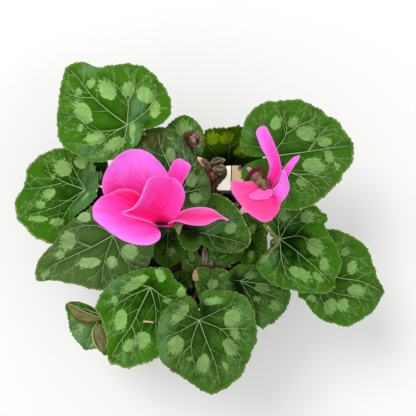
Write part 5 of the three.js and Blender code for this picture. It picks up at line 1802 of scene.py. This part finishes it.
BUD_DEFAULTS = dict(lobes=0.3, knobs=0, taper=1.1)
BUDS = {
    "nodding_back_bud": dict(
        node="bud_back", skin=PINK_BUD, root=(9, 90), head=(-6.4, 82, 158), toward=(0.2, -0.6, -0.5),
        length=13, radius=5.6, taper=1.8, lobes=0.5, knobs=0.13,
        via=[
            (-1, 20, 114), (-6, 50, 132), (-12, 67, 138), (-10.8, 76.2, 144), (-12.8, 82, 151),
            (-13.8, 86, 156.5),
        ],
    ),
    "slender_bud": dict(
        node="bud_slender", skin=PINK_BUD, root=(13, 82), head=(-0.5, 65, 159), toward=(-0.7, 0.6, 0.3),
        length=14, radius=3.3, via=[(2, 22, 114), (-1, 40, 131), (-1.5, 50, 146)],
    ),
    "olive_bud": dict(
        node="bud_olive", skin=OLIVE_BUD, root=(13.5, 62), head=(10, 66.8, 150), toward=(0.9, 0.2, -0.1),
        length=12, radius=3.6, knobs=0.12, via=[(8, 22, 110), (9, 40, 126), (8, 54, 144)],
    ),
    "nodding_front_bud": dict(
        node="bud_nodding", skin=OLIVE_BUD, root=(9, 48), head=(11, 60.3, 156), toward=(-0.9, 0.1, -0.2),
        length=11.5, radius=4.1, knobs=0.12, via=[(10, 18, 112), (8, 36, 128), (6.5, 47, 142), (15, 56, 153)],
    ),
    "red_bud": dict(
        node="bud_red", skin=RED_BUD, root=(13.5, 105), head=(5.7, 56.3, 150), toward=(0, 0.4, 1),
        length=10, radius=3.1, lobes=0.25,
        via=[(1, 20, 108), (3, 38, 122), (5.2, 48.5, 134), (5.6, 54.5, 142)],
    ),
}


def make_bud(name, bud):
    aim = unit(bud["toward"])
    turn, place = toward(aim, bud["head"])
    deselect()
    bpy.ops.mesh.primitive_uv_sphere_add(segments=40, ring_count=26, radius=1)
    head = added(name + "_head")
    ball = points_of(head)
    f = np.arccos(np.clip(-ball[:, 2], -1, 1)) / math.pi
    angle = np.arctan2(ball[:, 1], ball[:, 0])
    between_lobes = 0.5 - 0.5 * np.cos(SEPAL_COUNT * angle + 2 * f)
    swell = np.sin(math.pi * f**0.8) ** 0.8
    furrow = 1 - bud["lobes"] * between_lobes**2 * np.sin(math.pi * f)
    knob = 1 + bud["knobs"] * np.sin(2 * angle + 1) * np.cos(9 * f)
    radius = bud["radius"] * swell * furrow * knob
    shaped = np.stack([radius * np.cos(angle), radius * np.sin(angle), bud["length"] * (f - 0.5)], axis=1)
    set_points(head, (shaped @ turn.T + place) * MM)
    # Furrow: where the painted shade between the lobes falls
    set_values(head, along=f, furrow=between_lobes**3 * np.sin(math.pi * f))
    paint(head, bud["skin"])
    smooth(head, 70)
    heel = place - aim * bud["length"] * BUD_HEEL
    route = [*stalk_start(bud["root"]), *bud["via"], heel]
    stalk = stem(name + "_stalk", route, BUD_STALK, BUD_STALK_RADIUS, bud["taper"], count=60, sides=2)
    reach = bud["radius"] * BUD_SEPAL_REACH
    star = sepals(name + "_sepal", aim, heel + aim * 0.3, reach, width=1.1, back=2.2)
    whole = joined(name, [head, stalk, *star])
    give(whole, "bud_olive", bud["node"])


for bud_name, entry in BUDS.items():
    make_bud(bud_name, {**BUD_DEFAULTS, **entry})


# Pot


def pot_plastic():
    material, tree = new_material("pot_plastic", 0.5, Specular_IOR_Level=0.4)
    colour, height = mottled(tree, (0.018, 0.016, 0.015), 40, 700, 0.25)
    dust = object_place(tree).noise(25, 5)
    dusty = dust.ramp(0.5, 0.75, 0, 0.35).between(colour, (0.075, 0.062, 0.050))
    surface(tree, Base_Color=dusty, Roughness=dust.line(0.3, 0.7, 0.42, 0.7))
    bump(tree, height, 0.2, 0.4)
    return material


def pot_side(z, inwards=0.0):
    """A point of the pot's sloping side, for a profile."""
    return POT_FOOT + POT_SLOPE * z - inwards, z


def make_pot():
    foot = [(0, 1.2), (10, 1.2), (14, 0.9), (16, 0), (34, 0), (36.2, 0.2), (36.9, 0.9)]
    outside = [pot_side(z) for z in (2, 30, 79, 80.6)]
    lip = [(50.9, 81.2), (51.6, 81.6), (51.95, 82.4), (POT_RADIUS, 86), (POT_RADIUS, 90.7)]
    rim = [(51.8, 91.4), (51.2, 91.9), (50.4, POT_HEIGHT), (49.2, POT_HEIGHT), (48.6, 91.7)]
    inside = [pot_side(z, POT_WALL) for z in (90.6, 60, 2.2)]
    floor = [(34, 1.8), (0, 1.8)]
    pot = lathe("nursery_pot", [*foot, *outside, *lip, *rim, *inside, *floor], 128)
    for k in range(DRAIN_COUNT):
        turn = 2 * math.pi * k / DRAIN_COUNT
        place = Vector((math.cos(turn), math.sin(turn), 0)) * DRAIN_RING * MM
        size = {"radius": DRAIN_RADIUS * MM, "depth": 12 * MM}
        deselect()
        bpy.ops.mesh.primitive_cylinder_add(vertices=32, location=place, **size)
        cutter = added("drain_cutter")
        finish_with(pot, "BOOLEAN", operation="DIFFERENCE", object=cutter, solver="EXACT")
        bpy.data.objects.remove(cutter)
    smooth(pot, 35)
    pot.data.materials.clear()
    paint(pot, pot_plastic())
    give(pot, "pot_plastic", "pot")


make_pot()


# Potting mix


def soil_skin():
    material, tree = new_material("potting_mix", 0.9)
    place = object_place(tree)
    lump = place.noise(220, 6, 0.7)
    grain = place.noise(900, 3)
    colour = lump.ramp(0.35, 0.65).between((0.003, 0.002, 0.001), (0.020, 0.012, 0.007))
    colour = grain.ramp(0.62, 0.7).between(colour, (0.060, 0.034, 0.018))
    surface(tree, Base_Color=colour)
    bump(tree, lump + grain * 0.4, 2.5, 0.9)
    return material


def soil_height(x, y):
    lump = np.sin(0.31 * x + 1) * np.cos(0.27 * y) + 0.5 * np.sin(0.53 * y + 0.4 * x)
    bit = 0.5 * np.sin(1.3 * x + 0.7 * y) * np.sin(1.1 * y - 0.6 * x)
    crumb = 0.3 * np.sin(2.9 * x) * np.sin(3.1 * y + 1)
    return SOIL_TOP + SOIL_LUMPS * lump + bit + crumb


def make_soil():
    """A grid rolled up: its first rows are the rough top, the next the side, and the last the floor."""
    piece, s, t = grid("potting_mix", 120, 50)
    angle = s * math.pi
    top_share, side_share = 0.8, 0.8
    top_radius, _ = pot_side(SOIL_TOP, SOIL_GAP)
    floor_radius, _ = pot_side(SOIL_FLOOR, SOIL_GAP)
    is_top = t <= top_share
    deep = (t - top_share) / (1 - top_share)
    side_z = SOIL_TOP - (SOIL_TOP - SOIL_FLOOR) * np.clip(deep / side_share, 0, 1)
    floor_r = floor_radius * np.clip(1 - (deep - side_share) / (1 - side_share), 0, 1)
    deep_r = np.where(deep <= side_share, pot_side(side_z, SOIL_GAP)[0], floor_r)
    r = np.where(is_top, top_radius * t / top_share, deep_r)
    x, y = r * np.cos(angle), r * np.sin(angle)
    ease = np.clip((top_radius - r) / 4, 0, 1)
    z = np.where(is_top, SOIL_TOP + (soil_height(x, y) - SOIL_TOP) * ease, side_z)
    set_points(piece, np.stack([x, y, z], axis=1) * MM)
    weld(piece, 1e-6, outwards=True)
    smooth(piece, 60)
    paint(piece, soil_skin())
    give(piece, "potting_mix", "soil")


make_soil()


def scatter(name, count, sizes, material, seed, squash=1.0, stretch=1.0):
    """Small bits lying on the mix around the corm, each a rough stone of its own."""
    dice = random.Random(seed)
    places, faces = [], []
    deselect()
    bpy.ops.mesh.primitive_ico_sphere_add(subdivisions=1, radius=1)
    stone = added(name)
    shape = points_of(stone)
    triangles = np.array([list(p.vertices) for p in stone.data.polygons])
    bpy.data.objects.remove(stone)
    for _ in range(count):
        distance = SCATTER_RADIUS * math.sqrt(dice.random())
        bearing = dice.uniform(0, 2 * math.pi)
        x, y = distance * math.cos(bearing), distance * math.sin(bearing)
        if math.hypot(x - CROWN[0], y - CROWN[1]) < CORM_RADIUS:
            continue
        size = dice.uniform(*sizes)
        turn = np.array(Euler([dice.uniform(0, 6.28) for _ in range(3)]).to_matrix())
        rough = shape * (0.75 + 0.5 * np.array([dice.random() for _ in shape]))[:, None]
        body = (rough * (stretch, 1, squash)) @ turn.T * size
        faces.append(triangles + len(shape) * len(places))
        places.append(body + (x, y, soil_height(x, y) + 0.25 * size))
    piece = from_points(name, (np.concatenate(places) * MM).tolist(), [], np.concatenate(faces).tolist())
    weld(piece, 1e-9, outwards=True)
    paint(piece, material)
    give(piece, "potting_mix")


GRANULE = plain_skin("white_granule", 0.8, (0.62, 0.58, 0.50), (400, 2500, 0.3), 0.4, 0.6)
BARK_BIT = plain_skin("bark_bit", 0.85, (0.110, 0.050, 0.025), (300, 1800, 0.5), 0.5, 0.6)
PEAT_CRUMB = plain_skin("peat_crumb", 0.95, (0.022, 0.014, 0.009), (300, 1800, 0.5), 0.5, 0.6)
scatter("white_granules", 170, (0.6, 1.5), GRANULE, seed=5)
scatter("bark_bits", 110, (0.8, 2.0), BARK_BIT, seed=6, squash=0.45, stretch=1.8)
scatter("peat_crumbs", 500, (0.6, 1.7), PEAT_CRUMB, seed=7, squash=0.8, stretch=1.2)


# Corm


def corm_skin():
    material, tree = new_material("corm_skin", 0.75)
    ridge = object_place(tree, (1, 1, 0.35)).noise(260, 5, 0.65, 0.5)
    colour = ridge.ramp(0.36, 0.62).between((0.055, 0.030, 0.018), (0.300, 0.200, 0.110))
    coat(tree, colour, (200, 1200, 0.4), 1.5, 0.8, ridge)
    return material


def old_stalk_skin():
    material, tree = new_material("old_stalk_base", 0.7)
    streak = object_place(tree, (1, 0.08, 0.06)).noise(900, 4, 0.6)
    colour = streak.ramp(0.4, 0.6).between((0.030, 0.016, 0.009), (0.480, 0.400, 0.250))
    coat(tree, colour, (250, 1500, 0.3), 0.6, 0.8, streak)
    return material


STUBS = [
    dict(root=(4, -40), lean=(-1.5, 3), radius=1.6, height=10),
    dict(root=(7, -75), lean=(-1, 4), radius=1.5, height=13),
    dict(root=(5, -105), lean=(0.5, 4), radius=1.7, height=11),
]
# Each dry stalk of the fan passes three heights at its own places from left to right
FAN_SPREAD = [(-4.0, -1.8, -0.4), (-1.8, -0.9, -0.2), (0.5, 0, -0.1), (2.6, 0.8, 0.1), (4.8, 1.7, 0.2)]
FAN_STEPS = [(-11.5, 106), (-6.5, 116), (1.2, 127)]
FAN_ROOT = (10, -60)


def make_corm():
    deselect()
    bpy.ops.mesh.primitive_uv_sphere_add(segments=96, ring_count=48, radius=1)
    corm = added("corm")
    ball = points_of(corm)
    lift = np.arcsin(np.clip(ball[:, 2], -1, 1))
    radius = CORM_RADIUS * np.cos(lift) ** CORM_FLATNESS
    angle = np.arctan2(ball[:, 1], ball[:, 0])
    x, y = radius * np.cos(angle), radius * np.sin(angle)
    z = CORM_TOP - CORM_DEPTH + CORM_DEPTH * np.sin(lift)
    rough = 0.5 * np.sin(0.7 * x + 1) * np.sin(0.8 * y) + 0.35 * np.sin(1.9 * x - y) * np.sin(1.7 * z)
    shrink = 1 + rough / 40
    knobbly = np.stack([x * shrink + CROWN[0], y * shrink + CROWN[1], z + 0.6 * rough - 0.3], axis=1)
    set_points(corm, knobbly * MM)
    paint(corm, corm_skin())
    smooth(corm, 60)
    parts = [corm]
    skin = old_stalk_skin()
    for k, stub in enumerate(STUBS):
        foot = crown_point(stub["root"], CORM_TOP - STUB_SINK)
        top = foot + [*stub["lean"], stub["height"]]
        middle = (foot + top) / 2 + [0.5, -0.4, 0]
        route = [foot, middle, top]
        parts.append(stem(f"stub_{k}", route, skin, stub["radius"], taper=0.8, count=14, swell=0.4))
    for k, spread in enumerate(FAN_SPREAD):
        route = [(x, y, z) for x, (y, z) in zip(spread, FAN_STEPS)]
        route = [crown_point(FAN_ROOT, CORM_TOP - STUB_SINK), *route]
        parts.append(stem(f"old_stalk_{k}", route, skin, radius=1.5, taper=0.6, count=24, swell=0.2))
    whole = joined("corm_crown", parts)
    give(whole, "corm_skin", "corm")


make_corm()


# Plant label, bare but for plain fields of colour. Widths: share of the way up, left and right halves.
LABEL_SPINE = [
    (34, 21, 66), (34.3, 22, 82), (34.5, 25, 102), (32.5, 31, 118), (26, 46, 136), (21.5, 63.6, 147),
]
LABEL_WIDTHS = [
    (0, 1.2, 1.2), (0.2, 3.5, 3.5), (0.4, 3.5, 3.5), (0.6, 7, 6), (0.72, 13, 5), (0.77, 10, 7),
    (0.785, 9, 14.5), (0.82, 7, 16.5), (0.86, 6, 12.5), (0.92, 5.5, 7), (1, 6, 5.4),
]
LABEL_ACROSS = (-1, -0.05, 0)
LABEL_CREAM = (0.990, 0.970, 0.820)
LABEL_BUFF = (0.600, 0.450, 0.260)
LABEL_LINE = (0.050, 0.030, 0.030)
LABEL_VIOLET = (0.200, 0.060, 0.110)
LABEL_BROWN = (0.050, 0.022, 0.016)
LABEL_PINK = (1.000, 0.580, 0.660)
# Painted light: a faint glow of the card's own colour lifts it out of the shade among the blooms
LABEL_PAINTED_GLOW = 0.35
# Where its fields begin, in metres across and up the picture: none of the colour, and all of it
BUFF_FROM = (0.0205, 0.0206)
LINE_FROM = (0.0197, 0.0198)
LINE_UNTIL = (0.0207, 0.0206)
VIOLET_FROM = (0.0245, 0.0260)
VIOLET_ABOVE = (0.0590, 0.0610)
BROWN_BELOW = (0.0460, 0.0448)
PINK_BELOW = (0.0350, 0.0335)


def label_card():
    material, tree = new_material("label_card", 0.38, Specular_IOR_Level=0.45)
    place = object_place(tree)
    x, y = (made(tree, "ShaderNodeSeparateXYZ", k, {0: place}) for k in range(2))
    colour = x.ramp(*BUFF_FROM).between(LABEL_CREAM, LABEL_BUFF)
    line = x.ramp(*LINE_FROM) * x.ramp(*LINE_UNTIL)
    colour = line.between(colour, LABEL_LINE)
    corner = x.ramp(*VIOLET_FROM) * y.ramp(*VIOLET_ABOVE)
    colour = corner.between(colour, LABEL_VIOLET)
    colour = y.ramp(*BROWN_BELOW).between(colour, LABEL_BROWN)
    colour = y.ramp(*PINK_BELOW).between(colour, LABEL_PINK)
    broken = coat(tree, colour, (80, 900, 0.08), 0.1, 0.3)
    # Painted light: the card gives off its colour as a faint glow
    surface(tree, Emission_Color=broken, Emission_Strength=LABEL_PAINTED_GLOW)
    return material


def make_label():
    rows = 60
    piece, s, t = grid("plant_label_card", 14, rows)
    steps = np.linspace(0, 1, rows + 1)
    shares, lefts, rights = np.array(LABEL_WIDTHS, float).T
    row = step_of(t, rows)
    half = np.where(s < 0, np.interp(steps, shares, lefts)[row], np.interp(steps, shares, rights)[row])
    place = centripetal(LABEL_SPINE, steps)[row] + unit(LABEL_ACROSS) * (s * half)[:, None]
    set_points(piece, place * MM)
    paint(piece, label_card())
    finish_with(piece, "SOLIDIFY", thickness=CARD_THICKNESS * MM, offset=0)
    corners = {"limit_method": "ANGLE", "angle_limit": math.radians(40)}
    finish_with(piece, "BEVEL", width=CARD_ROUNDING * MM, segments=2, **corners)
    smooth(piece, 50)
    give(piece, "label_plastic", "plant_label")


make_label()


# Floor, light and camera
FLOOR_GREY = (0.93, 0.93, 0.93)
SKY_STRENGTH = 0.76
LIGHT_AIM = (0, 0.02, 0.13)


def area_light(name, place, size, power, colour):
    lamp = bpy.data.lights.new(name, "AREA")
    lamp.shape = "DISK"
    lamp.size = size
    lamp.energy = power
    lamp.color = colour
    piece = bpy.data.objects.new(name, lamp)
    piece.location = place
    piece.rotation_euler = (Vector(LIGHT_AIM) - Vector(place)).to_track_quat("-Z", "Y").to_euler()
    bpy.context.collection.objects.link(piece)


def make_stage():
    deselect()
    bpy.ops.mesh.primitive_plane_add(size=6, location=(0, 0, 0))
    floor = added("pale_floor")
    only(floor)
    bpy.ops.object.transform_apply(location=True, rotation=True, scale=True)
    paint(floor, new_material("pale_floor", 0.85, Base_Color=FLOOR_GREY)[0])

    world = bpy.data.worlds.new("studio")
    bpy.context.scene.world = world
    world.use_nodes = True
    background = world.node_tree.nodes["Background"]
    background.inputs["Color"].default_value = (1, 1, 1, 1)
    background.inputs["Strength"].default_value = SKY_STRENGTH
    area_light("key", (-0.6, 0.75, 1.7), size=0.8, power=13, colour=(1, 0.99, 0.96))
    area_light("fill", (0.9, -0.4, 1.6), size=1.2, power=3, colour=(0.97, 0.98, 1))


def make_camera():
    lens = bpy.data.cameras.new("camera")
    lens.lens = CAMERA_LENS
    lens.sensor_width = CAMERA_SENSOR
    lens.sensor_fit = "HORIZONTAL"
    lens.clip_start = 0.01
    camera = bpy.data.objects.new("camera", lens)
    camera.location = Vector(CAMERA_PLACE) * MM
    bpy.context.collection.objects.link(camera)
    bpy.context.scene.camera = camera


make_stage()
make_camera()
bpy.context.scene.view_settings.view_transform = "Standard"
